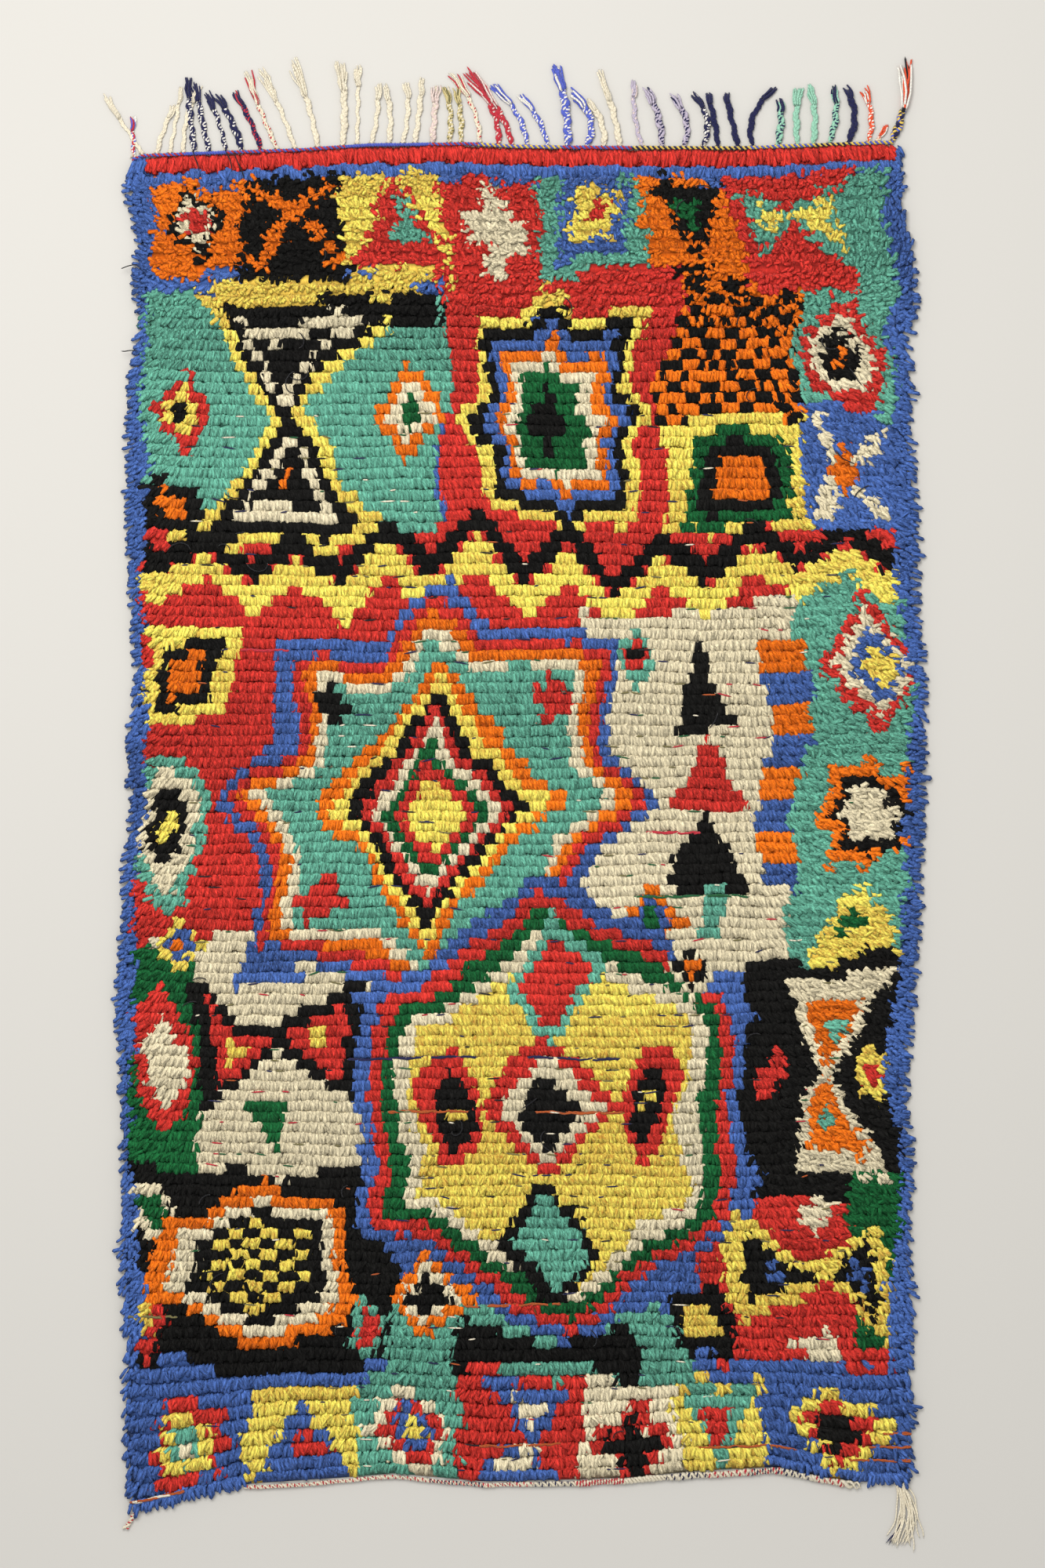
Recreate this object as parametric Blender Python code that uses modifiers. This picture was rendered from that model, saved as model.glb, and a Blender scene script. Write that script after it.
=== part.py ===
"""Knotted pile rug, lying flat, with plaited warp ends, twined edge cords and a corner tassel.

The rug lies on the floor plane z = 0. Its fringe points along +Y, its width runs along X,
and the origin is the middle of its underside. Tables are in millimetres, everything else in metres.
"""

import math

import bmesh
import bpy

MM = 0.001

# Driving dimensions of the knotted body
HALF_WIDTH = 0.560
TOP = 0.955
BOTTOM = -0.955
THICKNESS = 0.016
EDGE_ROUNDING = 0.005

# Cords at the two ends, and the gap between neighbouring pieces
CORD_THICKNESS = 0.0035
GAP = 0.0003

# Flat strip of warp ends, which the heading cord is twined around
STRIP_THICKNESS = 0.0015
STRIP_WIDTH = 0.005

# Corners, where the side borders meet the ends
TOP_LEFT = (-0.560, 0.934)
TOP_RIGHT = (0.568, 0.934)
BOTTOM_LEFT = (-0.553, -1.004)
BOTTOM_RIGHT = (0.566, -0.963)

# How far each edge stands out from the plain rectangle. Columns: y, out
LEFT_EDGE = (
    (897, 7), (804, -7), (764, 0), (703, -11), (631, 0), (561, 4), (410, 4), (357, 5),
    (220, -7), (88, 5), (2, 0), (-101, 11), (-245, 20), (-353, 18), (-460, 14), (-570, 16),
    (-640, 18), (-748, 11), (-892, 14), (-985, 6),
)
RIGHT_EDGE = (
    (898, -6), (848, 3), (794, 15), (724, 15), (682, -2), (599, 5), (536, 3), (411, 13),
    (328, 11), (182, 23), (36, 21), (-83, 15), (-166, 13), (-291, 6), (-394, -6), (-499, 5),
    (-601, 3), (-706, 8), (-830, 8), (-930, 6),
)

# Columns: x, out
TOP_EDGE = (
    (-540, -14), (-324, -6), (-216, 1), (-73, 3), (-7, -1), (160, -3), (326, -3), (534, 5), (553, 2),
)
BOTTOM_EDGE = (
    (-392, 9), (-252, 0), (-180, -6), (-48, 6), (68, 3), (160, 0), (263, -10), (367, -15),
    (442, 0), (488, 6),
)

# Plaited warp ends, left to right. Columns: root x, lean to the right, reach, bow to the right, thickness
FRINGE = (
    (-554, -2, 61, 0, 5), (-540, -57, 88, 0, 5), (-522, 27, 72, -3, 6), (-503, 18, 98, 0, 5),
    (-483, 23, 98, -7, 6), (-466, -10, 109, -2, 8), (-445, -20, 102, -2, 8), (-421, -28, 85, 3, 6),
    (-398, -37, 82, 4, 9), (-371, -40, 87, 4, 7), (-347, -45, 118, -3, 6), (-322, -50, 117, 3, 6),
    (-290, -37, 124, 5, 7), (-255, -4, 122, 5, 9), (-234, 1, 115, 1, 5), (-214, 10, 88, 4, 6),
    (-189, -6, 86, 6, 7), (-169, 6, 90, 5, 6), (-151, 11, 95, 1, 7), (-126, 5, 84, 1, 8),
    (-102, -5, 82, 5, 7), (-85, -8, 81, 4, 7), (-58, -39, 102, 11, 6), (-31, -45, 107, 14, 8),
    (-11, -60, 100, 11, 8), (10, -49, 89, 12, 7), (40, -39, 75, 7, 7), (69, -17, 118, 5, 11),
    (94, -22, 83, 18, 9), (120, -23, 69, 9, 8), (144, -30, 110, 4, 8), (177, -12, 96, -6, 6),
    (204, -22, 87, 6, 9), (234, -18, 77, 14, 8), (261, -12, 79, 14, 8), (285, -16, 79, 2, 8),
    (314, -19, 79, 0, 8), (336, 31, 87, -17, 8), (369, 4, 69, 4, 9), (399, 2, 87, -3, 8),
    (420, -5, 87, 6, 8), (443, 7, 85, 7, 8), (470, -3, 82, 12, 9), (500, -7, 79, 8, 7),
    (512, 15, 27, 0, 5), (533, 16, 116, 11, 10),
)
FRINGE_LEFT = -0.557
FRINGE_RIGHT = 0.537

# Loose warp ends at the lower right corner, with the same columns
TASSEL = (
    (539, -10, 84, 10, 2.4), (541, -8, 92, 14, 2.4), (543, -2, 90, 15, 2.4), (545, 2, 91, 13, 2.4),
    (547, 18, 91, 1, 2.4), (549, 16, 64, 9, 2.4),
)
TASSEL_LEFT = 0.537
TASSEL_RIGHT = 0.551

# Short twist from the lower left corner, with the same columns
TWIST = (-553, -14, 24, 1, 6)

# Where the closing cord starts and ends
CLOSING_LEFT = -0.397
CLOSING_RIGHT = 0.490

# A loose end starts this far under its cord, and is thin up to one place and full from another
UNDER = 0.0025
THIN_TO = 0.004
FULL_FROM = 0.010
# Points on the rest of its middle line, as shares of what is left, and its radius at the ends
END_SHARES = (0.2, 0.4, 0.6, 0.8, 1.0)
TIP_RADIUS = 0.6
TWIST_ROOT_RADIUS = 0.7

COLOURS = {
    "rug_body": (0.12, 0.20, 0.45, 1),
    "heading_cord": (0.45, 0.30, 0.30, 1),
    "fringe": (0.62, 0.55, 0.42, 1),
    "closing_cord": (0.65, 0.58, 0.46, 1),
    "corner_tassel": (0.65, 0.60, 0.50, 1),
    "corner_twist": (0.55, 0.30, 0.26, 1),
}


def clear_scene():
    for thing in list(bpy.data.objects):
        bpy.data.objects.remove(thing, do_unlink=True)


def make_collection(name):
    group = bpy.data.collections.new(name)
    bpy.context.scene.collection.children.link(group)
    return group


def yarn_material(name):
    """Dull yarn in the piece's main colour."""
    material = bpy.data.materials.new(name)
    material.use_nodes = True
    shader = material.node_tree.nodes["Principled BSDF"]
    shader.inputs["Base Color"].default_value = COLOURS[name]
    shader.inputs["Roughness"].default_value = 0.95
    return material


def between(rows, at):
    """Out, read from a table of (place, out) at a place between two of its rows."""
    rows = sorted(rows)
    if at <= rows[0][0]:
        return rows[0][1]
    for (start, low), (end, high) in zip(rows, rows[1:]):
        if at <= end:
            return low + (high - low) * (at - start) / (end - start)
    return rows[-1][1]


def top_line(x):
    """The body's top edge at x."""
    return TOP + between(TOP_EDGE, x / MM) * MM


def bottom_line(x):
    """The body's bottom edge at x, out to its corners."""
    left = (BOTTOM_LEFT[0] / MM, (BOTTOM - BOTTOM_LEFT[1]) / MM)
    right = (BOTTOM_RIGHT[0] / MM, (BOTTOM - BOTTOM_RIGHT[1]) / MM)
    return BOTTOM - between((left,) + BOTTOM_EDGE + (right,), x / MM) * MM


def body_outline():
    """The rug's outline, clockwise from the top left corner."""
    points = [TOP_LEFT]
    points += [(x * MM, TOP + out * MM) for x, out in TOP_EDGE]
    points.append(TOP_RIGHT)
    points += [(HALF_WIDTH + out * MM, y * MM) for y, out in RIGHT_EDGE]
    points.append(BOTTOM_RIGHT)
    points += [(x * MM, BOTTOM - out * MM) for x, out in reversed(BOTTOM_EDGE)]
    points.append(BOTTOM_LEFT)
    points += [(-HALF_WIDTH - out * MM, y * MM) for y, out in reversed(LEFT_EDGE)]
    return points


def flat_curve(name, points, thickness):
    """A flat outline, filled and made as thick as given, standing on the floor."""
    curve = bpy.data.curves.new(name, "CURVE")
    curve.dimensions = "2D"
    curve.fill_mode = "BOTH"
    curve.extrude = thickness / 2
    spline = curve.splines.new("POLY")
    spline.points.add(len(points) - 1)
    spline.use_cyclic_u = True
    for point, (x, y) in zip(spline.points, points):
        point.co = (x, y, 0, 1)
    piece = bpy.data.objects.new(name, curve)
    piece.location.z = thickness / 2
    return piece


def cord_curve(name, points, radii, resolution):
    """A round cord along points, with its own radius at each, and filled ends."""
    curve = bpy.data.curves.new(name, "CURVE")
    curve.dimensions = "3D"
    curve.bevel_depth = max(radii)
    curve.bevel_resolution = resolution
    curve.use_fill_caps = True
    spline = curve.splines.new("POLY")
    spline.points.add(len(points) - 1)
    for point, place, radius in zip(spline.points, points, radii):
        point.co = (*place, 1)
        point.radius = radius / max(radii)
    return bpy.data.objects.new(name, curve)


def as_mesh(piece, group):
    """The piece as a welded mesh object in group, in place of its curve."""
    group.objects.link(piece)
    bpy.context.view_layer.update()
    graph = bpy.context.evaluated_depsgraph_get()
    mesh = bpy.data.meshes.new_from_object(piece.evaluated_get(graph))
    place = piece.matrix_world.copy()
    name = piece.name
    bpy.data.objects.remove(piece, do_unlink=True)
    shape = bmesh.new()
    shape.from_mesh(mesh)
    bmesh.ops.remove_doubles(shape, verts=shape.verts, dist=0.00001)
    shape.to_mesh(mesh)
    shape.free()
    solid = bpy.data.objects.new(name, mesh)
    solid.matrix_world = place
    group.objects.link(solid)
    return solid


def finish(piece):
    """Gives the piece its own material."""
    piece.data.materials.clear()
    piece.data.materials.append(yarn_material(piece.name))
    return piece


def round_upper_rim(piece, width):
    """Rounds the edge all round the top face, where the pile lies over."""
    shape = bmesh.new()
    shape.from_mesh(piece.data)
    weights = shape.edges.layers.float.new("bevel_weight_edge")
    for edge in shape.edges:
        on_top = all(vertex.co.z > 0 for vertex in edge.verts)
        if on_top and edge.calc_face_angle(0) > 1:
            edge[weights] = 1
    shape.to_mesh(piece.data)
    shape.free()
    bevel = piece.modifiers.new("rounded rim", "BEVEL")
    bevel.limit_method = "WEIGHT"
    bevel.width = width
    bevel.segments = 2


def middle_line(row, start_y, direction, shares):
    """Places on a loose end: root + s (lean, reach) + 4 s (1 - s) (bow, 0), at each share s."""
    root, lean, reach, bow = (value * MM for value in row[:4])
    places = []
    for share in shares:
        x = root + share * lean + 4 * share * (1 - share) * bow
        places.append((x, start_y + direction * share * reach))
    return places


def loose_end(name, row, edge_y, direction):
    """One loose warp end: it starts thin under the edge's cord and lies on the floor out to its tip."""
    reach = row[2] * MM
    radius = row[4] * MM / 2
    first = min(STRIP_THICKNESS / 2, radius)
    full = FULL_FROM / reach
    shares = [0, THIN_TO / reach, full] + [full + (1 - full) * share for share in END_SHARES]
    radii = [first, min(2 * first, radius)] + [radius] * (len(shares) - 3) + [radius * TIP_RADIUS]
    places = middle_line(row, edge_y + direction * UNDER, direction, shares)
    points = [(x, y, at + GAP / 3) for (x, y), at in zip(places, radii)]
    return cord_curve(name, points, radii, 1)


def along(rows, left, right):
    """Places along an edge: both ends of a stretch, and the table's own places between them."""
    inside = sorted(at * MM for at, out in rows if left < at * MM < right)
    return [left] + inside + [right]


def edge_strip(name, places, line, near, far):
    """A flat strip that follows an edge line, from near to far past it."""
    inner = [(x, line(x) + near) for x in places]
    outer = [(x, line(x) + far) for x in reversed(places)]
    return flat_curve(name, inner + outer, STRIP_THICKNESS)


def comb(strip, rows, line, direction, group, cutters):
    """Joins a strip and its loose ends into one solid."""
    solid = as_mesh(strip, group)
    ends = bpy.data.collections.new(solid.name + " ends")
    cutters.children.link(ends)
    for index, row in enumerate(rows):
        end = loose_end(f"{solid.name} end {index + 1}", row, line(row[0] * MM), direction)
        end = as_mesh(end, ends)
        end.hide_render = True
        end.display_type = "WIRE"
    union = solid.modifiers.new("ends", "BOOLEAN")
    union.operation = "UNION"
    union.operand_type = "COLLECTION"
    union.collection = ends
    return finish(solid)


def make_body(group):
    body = as_mesh(flat_curve("rug_body", body_outline(), THICKNESS), group)
    round_upper_rim(body, EDGE_ROUNDING)
    return finish(body)


def make_heading_cord(group):
    """The twined cord that lies on the strip of warp ends, along the top edge."""
    radius = CORD_THICKNESS / 2
    height = STRIP_THICKNESS + GAP + radius
    places = along(TOP_EDGE, FRINGE_LEFT, FRINGE_RIGHT)
    points = [(x, top_line(x) + 2 * GAP + radius, height) for x in places]
    cord = cord_curve("heading_cord", points, [radius] * len(points), 2)
    return finish(as_mesh(cord, group))


def make_closing_cord(group):
    """The twined cord on the floor along the bottom edge."""
    radius = CORD_THICKNESS / 2
    places = along(BOTTOM_EDGE, CLOSING_LEFT, CLOSING_RIGHT)
    points = [(x, bottom_line(x) - 2 * GAP - radius, radius) for x in places]
    cord = cord_curve("closing_cord", points, [radius] * len(points), 2)
    return finish(as_mesh(cord, group))


def make_fringe(group, cutters):
    places = along(TOP_EDGE, FRINGE_LEFT, FRINGE_RIGHT)
    strip = edge_strip("fringe", places, top_line, GAP, STRIP_WIDTH)
    return comb(strip, FRINGE, top_line, 1, group, cutters)


def make_tassel(group, cutters):
    places = along(BOTTOM_EDGE, TASSEL_LEFT, TASSEL_RIGHT)
    strip = edge_strip("corner_tassel", places, bottom_line, -GAP, -STRIP_WIDTH)
    return comb(strip, TASSEL, bottom_line, -1, group, cutters)


def make_twist(group):
    """The short twist, whose slanting end just clears the rug's corner."""
    lean, reach = TWIST[1], TWIST[2]
    radius = TWIST[4] * MM / 2
    root, tip = radius * TWIST_ROOT_RADIUS, radius * TIP_RADIUS
    clear = GAP * math.hypot(lean, reach) / reach
    places = middle_line(TWIST, BOTTOM_LEFT[1] - clear, -1, (0, 0.2, 0.5, 0.8, 1))
    radii = (root, radius, radius, radius, tip)
    heights = (radius, radius, radius, radius, tip)
    points = [(x, y, z) for (x, y), z in zip(places, heights)]
    return finish(as_mesh(cord_curve("corner_twist", points, radii, 2), group))


def main():
    clear_scene()
    rug = make_collection("knotted rug")
    cutters = make_collection("loose ends")
    make_body(rug)
    make_heading_cord(rug)
    make_closing_cord(rug)
    make_fringe(rug, cutters)
    make_tassel(rug, cutters)
    make_twist(rug)


main()
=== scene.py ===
# %% [markdown]
# # A knotted pile rug, seen from straight above
# The rug is a narrow woolly one from the mountains: every tuft of its pile is a short yarn knotted round two
# warps, a row of knots is closed by a few wefts, and the warps are plaited into a fringe at one end.
# This lesson builds it the way it is made. A grid of knots carries the design, each knot gives four yarn
# ends, and the plaits and twined cords are yarn too. Lengths are metres unless a table says otherwise.

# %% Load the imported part
import math

import bpy
import numpy as np
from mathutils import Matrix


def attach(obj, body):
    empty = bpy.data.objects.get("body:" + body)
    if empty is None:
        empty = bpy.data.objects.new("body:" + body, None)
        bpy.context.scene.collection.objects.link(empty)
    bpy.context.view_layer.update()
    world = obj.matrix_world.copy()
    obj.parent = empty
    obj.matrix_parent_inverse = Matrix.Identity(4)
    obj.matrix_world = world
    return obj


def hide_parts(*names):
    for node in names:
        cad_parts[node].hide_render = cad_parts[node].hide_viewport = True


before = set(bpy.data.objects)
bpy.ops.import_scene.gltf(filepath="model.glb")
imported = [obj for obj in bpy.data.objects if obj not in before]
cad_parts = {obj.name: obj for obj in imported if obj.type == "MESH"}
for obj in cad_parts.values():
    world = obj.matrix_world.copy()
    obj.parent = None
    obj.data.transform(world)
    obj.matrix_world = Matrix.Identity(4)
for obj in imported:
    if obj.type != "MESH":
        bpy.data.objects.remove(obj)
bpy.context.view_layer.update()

# %% [markdown]
# The outline is uneven, as the loom and years of use left it. The part's own tables of how far each edge
# stands out are repeated here, because every knot is placed between these lines.

# %% Edges of the rug
MM = 0.001
HALF_WIDTH = 0.560
TOP = 0.955
BOTTOM = -0.955

# How far each edge stands out from the plain rectangle, in millimetres. Columns: y, out
LEFT_EDGE = (
    (897, 7), (804, -7), (764, 0), (703, -11), (631, 0), (561, 4), (410, 4), (357, 5),
    (220, -7), (88, 5), (2, 0), (-101, 11), (-245, 20), (-353, 18), (-460, 14), (-570, 16),
    (-640, 18), (-748, 11), (-892, 14), (-985, 6),
)
RIGHT_EDGE = (
    (898, -6), (848, 3), (794, 15), (724, 15), (682, -2), (599, 5), (536, 3), (411, 13),
    (328, 11), (182, 23), (36, 21), (-83, 15), (-166, 13), (-291, 6), (-394, -6), (-499, 5),
    (-601, 3), (-706, 8), (-830, 8), (-930, 6),
)
# Columns: x, out
TOP_EDGE = (
    (-560, -21), (-540, -14), (-324, -6), (-216, 1), (-73, 3), (-7, -1), (160, -3), (326, -3), (534, 5),
    (553, 2), (568, -21),
)
BOTTOM_EDGE = (
    (-553, 49), (-392, 9), (-252, 0), (-180, -6), (-48, 6), (68, 3), (160, 0), (263, -10), (367, -15),
    (442, 0), (488, 6), (566, 8),
)


def edge_line(middle, way, rows):
    """An edge: its middle value + way times how far it stands out, read straight between a table's rows."""
    table = np.array(sorted(rows), float) * MM
    return lambda at: middle + way * np.interp(at, table[:, 0], table[:, 1])


left_line = edge_line(-HALF_WIDTH, -1, LEFT_EDGE)
right_line = edge_line(HALF_WIDTH, 1, RIGHT_EDGE)
top_line = edge_line(TOP, 1, TOP_EDGE)
bottom_line = edge_line(BOTTOM, -1, BOTTOM_EDGE)
print("top edge at the middle", round(float(top_line(0.0)), 4))

# %% [markdown]
# A few small tools come first. Smooth unevenness is a sum of sine waves, so it is the same in every run, and
# single yarns differ by a seeded random generator.

# %% Small tools
rng = np.random.default_rng(7)


def ease(low, high, value):
    """0 up to low, 1 from high on, and t t (3 - 2 t) between them, where t is the share of the way."""
    share = np.clip((value - low) / (high - low), 0, 1)
    return share * share * (3 - 2 * share)


def ripple(a, b, seed):
    """A smooth uneven field from -1 to 1: three sine waves at odd angles, each weaker than the last."""
    total = 0
    for wave, (length, turn) in enumerate(((13.0, 0.4), (7.1, 1.9), (4.3, 2.8))):
        place = (a * math.cos(turn) + b * math.sin(turn)) * 2 * math.pi / length
        total = total + np.sin(place + seed * 1.7 + wave * 2.3) / (wave + 1)
    return total / 1.83


def linear(red, green, blue):
    """The linear colour of an sRGB colour given as three numbers up to 255."""
    share = np.array((red, green, blue)) / 255
    low, high = share / 12.92, ((share + 0.055) / 1.055) ** 2.4
    return tuple(float(value) for value in np.where(share <= 0.04045, low, high))


def place_object(name, data):
    """A new object in the scene. It stays at the origin unless it is a camera or a lamp."""
    placed = bpy.data.objects.new(name, data)
    bpy.context.scene.collection.objects.link(placed)
    return placed


# %% [markdown]
# ## Camera, light and floor
# The photograph looks straight down with a long lens, so the rug's outline is hardly distorted. One large
# soft lamp stands a little towards the fringe, so that each row of pile shades the gap below it.

# %% Camera, light and floor
VIEW_CENTRE = (0.0039, 0.0416)
VIEW_HEIGHT = 2.2472
PILE_TOP = 0.012
LENS = 85.0
SENSOR = 36.0
LAMP_PLACE = (-0.9, 1.7, 3.6)
LAMP_SIZE = 2.4
LAMP_POWER = 135.0
LAMP_COLOUR = (1.0, 0.985, 0.96)
SKY_COLOUR = (1.0, 0.99, 0.975, 1)
SKY_STRENGTH = 0.805
FLOOR_COLOUR = (0.52, 0.508, 0.48, 1)
FLOOR_REACH = 12.0
FLOOR_HEIGHT = -0.0004


def make_camera():
    """The long side of the picture spans VIEW_HEIGHT at the pile: distance = height * lens / sensor."""
    data = bpy.data.cameras.new("camera")
    data.lens = LENS
    data.sensor_width = SENSOR
    camera = place_object("camera", data)
    camera.location = (*VIEW_CENTRE, PILE_TOP + VIEW_HEIGHT * LENS / SENSOR)
    bpy.context.scene.camera = camera
    return camera


def make_lamp():
    """A round soft lamp that looks at the middle of the rug."""
    data = bpy.data.lights.new("soft lamp", "AREA")
    data.shape = "DISK"
    data.size = LAMP_SIZE
    data.energy = LAMP_POWER
    data.color = LAMP_COLOUR
    lamp = place_object("soft lamp", data)
    lamp.location = LAMP_PLACE
    aim_x, aim_y, aim_z = (-value for value in LAMP_PLACE)
    lamp.rotation_euler = (math.atan2(math.hypot(aim_x, aim_y), -aim_z), 0, math.atan2(-aim_x, aim_y))


def make_sky():
    world = bpy.data.worlds.new("pale room")
    world.use_nodes = True
    background = world.node_tree.nodes["Background"]
    background.inputs["Color"].default_value = SKY_COLOUR
    background.inputs["Strength"].default_value = SKY_STRENGTH
    bpy.context.scene.world = world
    bpy.context.scene.view_settings.view_transform = "Standard"


def make_floor():
    mesh = bpy.data.meshes.new("floor")
    ways = ((-1, -1), (1, -1), (1, 1), (-1, 1))
    mesh.from_pydata([(FLOOR_REACH * x, FLOOR_REACH * y, FLOOR_HEIGHT) for x, y in ways], [], [(0, 1, 2, 3)])
    material = bpy.data.materials.new("pale floor")
    material.use_nodes = True
    shader = material.node_tree.nodes["Principled BSDF"]
    shader.inputs["Base Color"].default_value = FLOOR_COLOUR
    shader.inputs["Roughness"].default_value = 0.8
    shader.inputs["Specular IOR Level"].default_value = 0.2
    mesh.materials.append(material)
    place_object("floor", mesh)


camera = make_camera()
make_lamp()
make_sky()
make_floor()
print("camera height", round(camera.location.z, 3))

# %% [markdown]
# ## Yarn as a surface
# All yarn here, from a tuft to a plait, is one kind of surface: a ring of points carried along a line and
# drawn in to a point at both ends. Thousands are made at once as arrays, and each carries a place in its own
# fibre: cosine and sine round it, and the length along it. The fibre pattern reads that.

# %% Yarn surfaces
def unit(vectors):
    return vectors / np.maximum(np.linalg.norm(vectors, axis=-1, keepdims=True), 1e-9)


def yarn_surface(lines, side, wide, high, sides, twist=0.0):
    """Points of many yarns at once, their fibre places, and the lay: the way that is up from each yarn.

    lines is (yarn, station, 3), and side (yarn, station, 3) points across each yarn. A ring point is the
    line's point + wide cos(a) side + high sin(a) up, where up is square to side and to the line. The first
    and last stations are the two points of the yarn. A fibre place is (radius cos(b), radius sin(b), length
    so far), where b = a + twist times the length so far.
    """
    along = unit(np.gradient(lines, axis=1))
    across = unit(side - (side * along).sum(-1, keepdims=True) * along)
    up = np.cross(across, along)
    angle = 2 * np.pi * np.arange(sides) / sides + np.pi / 2
    wide, high = wide[:, 1:-1, None], high[:, 1:-1, None]
    rings = lines[:, 1:-1, None] + across[:, 1:-1, None] * (wide * np.cos(angle))[..., None]
    rings = rings + up[:, 1:-1, None] * (high * np.sin(angle))[..., None]
    steps = np.linalg.norm(np.diff(lines, axis=1), axis=-1)
    length = np.concatenate([np.zeros((len(lines), 1)), np.cumsum(steps, axis=1)], axis=1)
    so_far = length[:, 1:-1, None]
    turned = angle + twist * so_far
    radius = 0.5 * (wide + high)
    around = np.stack([radius * np.cos(turned), radius * np.sin(turned), 0 * turned + so_far], -1)
    count = len(lines)
    ends = np.zeros((count, 2, 3))
    ends[:, 1, 2] = length[:, -1]
    points = np.concatenate([lines[:, :1], rings.reshape(count, -1, 3), lines[:, -1:]], axis=1)
    fibre = np.concatenate([ends[:, :1], around.reshape(count, -1, 3), ends[:, 1:]], axis=1)
    lay = up * np.where(up[..., 2:] < 0, -1, 1)
    lay = np.concatenate([lay[:, :1], np.repeat(lay[:, 1:-1], sides, axis=1), lay[:, -1:]], axis=1)
    return points, fibre, lay


def yarn_faces(rings, sides):
    """Corner numbers of one yarn's faces, their sizes, and each corner's place (round, along), from 0 to 1.

    Faces are a fan at the root, a band of quads between each two rings, and a fan at the tip. Corner 0 is
    the root and the last one the tip, and between them the rings follow each other.
    """
    faces = []
    for ring in range(rings + 1):
        near, far = 1 + (ring - 1) * sides, 1 + ring * sides
        for left in range(sides):
            right, after = left + 1, (left + 1) % sides
            if ring == 0:
                face = [(0, left + 0.5, 0), (far + after, right, 1), (far + left, left, 1)]
            elif ring == rings:
                face = [(far, left + 0.5, ring + 1), (near + left, left, ring), (near + after, right, ring)]
            else:
                face = [(near + left, left, ring), (near + after, right, ring)]
                face += [(far + after, right, ring + 1), (far + left, left, ring + 1)]
            faces.append(face)
    corners = np.array([corner for face in faces for corner in face])
    sizes = np.array([len(face) for face in faces])
    return corners[:, 0].astype(int), sizes, corners[:, 1:] / (sides, rings + 1)


# %% [markdown]
# Every yarn has its own small cell on the piece's bake map, so that no two share a place on it. A cell is
# tall where the yarn is long, and each yarn fills a little less than its cell.

# %% Meshes of many yarns
CELL_FILL = 0.88
FIBRE_SHIFT = 3


def add_vectors(mesh, name, values):
    attribute = mesh.attributes.new(name, "FLOAT_VECTOR", "POINT")
    attribute.data.foreach_set("vector", np.ascontiguousarray(values, np.float32).ravel())


def add_map(mesh, name, places):
    layer = mesh.uv_layers.new(name=name)
    layer.data.foreach_set("uv", places.astype(np.float32).ravel())


def bake_places(count, tall, places):
    """Each corner's place on the bake map: its yarn's cell + its place in the cell. Cells are tall : 1."""
    columns = max(1, math.ceil(math.sqrt(count * tall)))
    rows = math.ceil(count / columns)
    number = np.arange(count)[:, None]
    inside = (1 - CELL_FILL) / 2 + CELL_FILL * places[None]
    u = (number % columns) / columns + inside[..., 0] / columns
    v = (number // columns) / rows + inside[..., 1] / rows
    return np.stack([u, v], -1)


def yarn_piece(name, surface, sides, tall, colours, material):
    """One mesh of many yarns. Each attribute holds a value for each point, and OFBake is the map of cells."""
    points, fibre, lay = surface
    count, per_yarn = points.shape[:2]
    corners, sizes, places = yarn_faces((per_yarn - 2) // sides, sides)
    every = (corners[None] + per_yarn * np.arange(count)[:, None]).ravel().astype(np.int32)
    faces = np.tile(sizes, count)
    mesh = bpy.data.meshes.new(name)
    mesh.vertices.add(count * per_yarn)
    mesh.vertices.foreach_set("co", points.astype(np.float32).ravel())
    mesh.loops.add(len(every))
    mesh.loops.foreach_set("vertex_index", every)
    mesh.polygons.add(len(faces))
    starts = np.concatenate([[0], np.cumsum(faces)[:-1]]).astype(np.int32)
    mesh.polygons.foreach_set("loop_start", starts)
    mesh.polygons.foreach_set("use_smooth", np.ones(len(faces), bool))
    mesh.update(calc_edges=True)
    offset = rng.uniform(0, FIBRE_SHIFT, (count, 1, 1)) * np.array((0, 0, 1))
    add_vectors(mesh, "fibre", fibre + offset)
    for key, values in colours.items():
        add_vectors(mesh, key, np.repeat(values[:, None], per_yarn, axis=1) if values.ndim == 2 else values)
    add_vectors(mesh, "lay", lay)
    add_map(mesh, "OFBake", bake_places(count, tall, places))
    mesh.materials.append(material)
    print(name, count, "yarns", int((faces - 2).sum()), "triangles")
    return place_object(name, mesh)


def ride_as(piece, slot, *nodes):
    """The piece moves with the rug and stands for the named solids. The slot is not used."""
    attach(piece, "root")
    if nodes:
        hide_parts(*nodes)
    return piece


# %% [markdown]
# ## Finish of the yarn
# Hand-spun wool is dull, with fine fibres running along it that catch the light, and it takes dye unevenly.
# Its colour is a darker and a lighter shade mixed by noise stretched along the fibre, the same noise gives
# roughness and bump, and a soft sheen stands for the fuzz. Yarn ends lie matted together, so the light reads
# them mostly by the way that they lie, and only a little by their own roundness.

# %% Small tools for materials
CRINKLE_SIZE = 400.0
CRINKLE = {"Detail": 3.0, "Distortion": 1.2}
FIBRES = {"Detail": 3.0, "Distortion": 0.4}
STREAKS = {"Detail": 2.0, "Distortion": 0.4}


def add_node(tree, kind, inputs, **settings):
    """Outputs of a new node. An input whose value is another node's output is linked, others are set."""
    node = tree.nodes.new("ShaderNode" + kind)
    for key, value in settings.items():
        setattr(node, key, value)
    for key, value in inputs.items():
        if isinstance(value, bpy.types.NodeSocket):
            tree.links.new(value, node.inputs[key])
        else:
            node.inputs[key].default_value = value
    return node.outputs


def read(tree, name, output="Vector"):
    """One of the piece's own attributes."""
    return add_node(tree, "Attribute", {}, attribute_name=name)[output]


def split(tree, vector):
    return add_node(tree, "SeparateXYZ", {0: vector})


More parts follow.
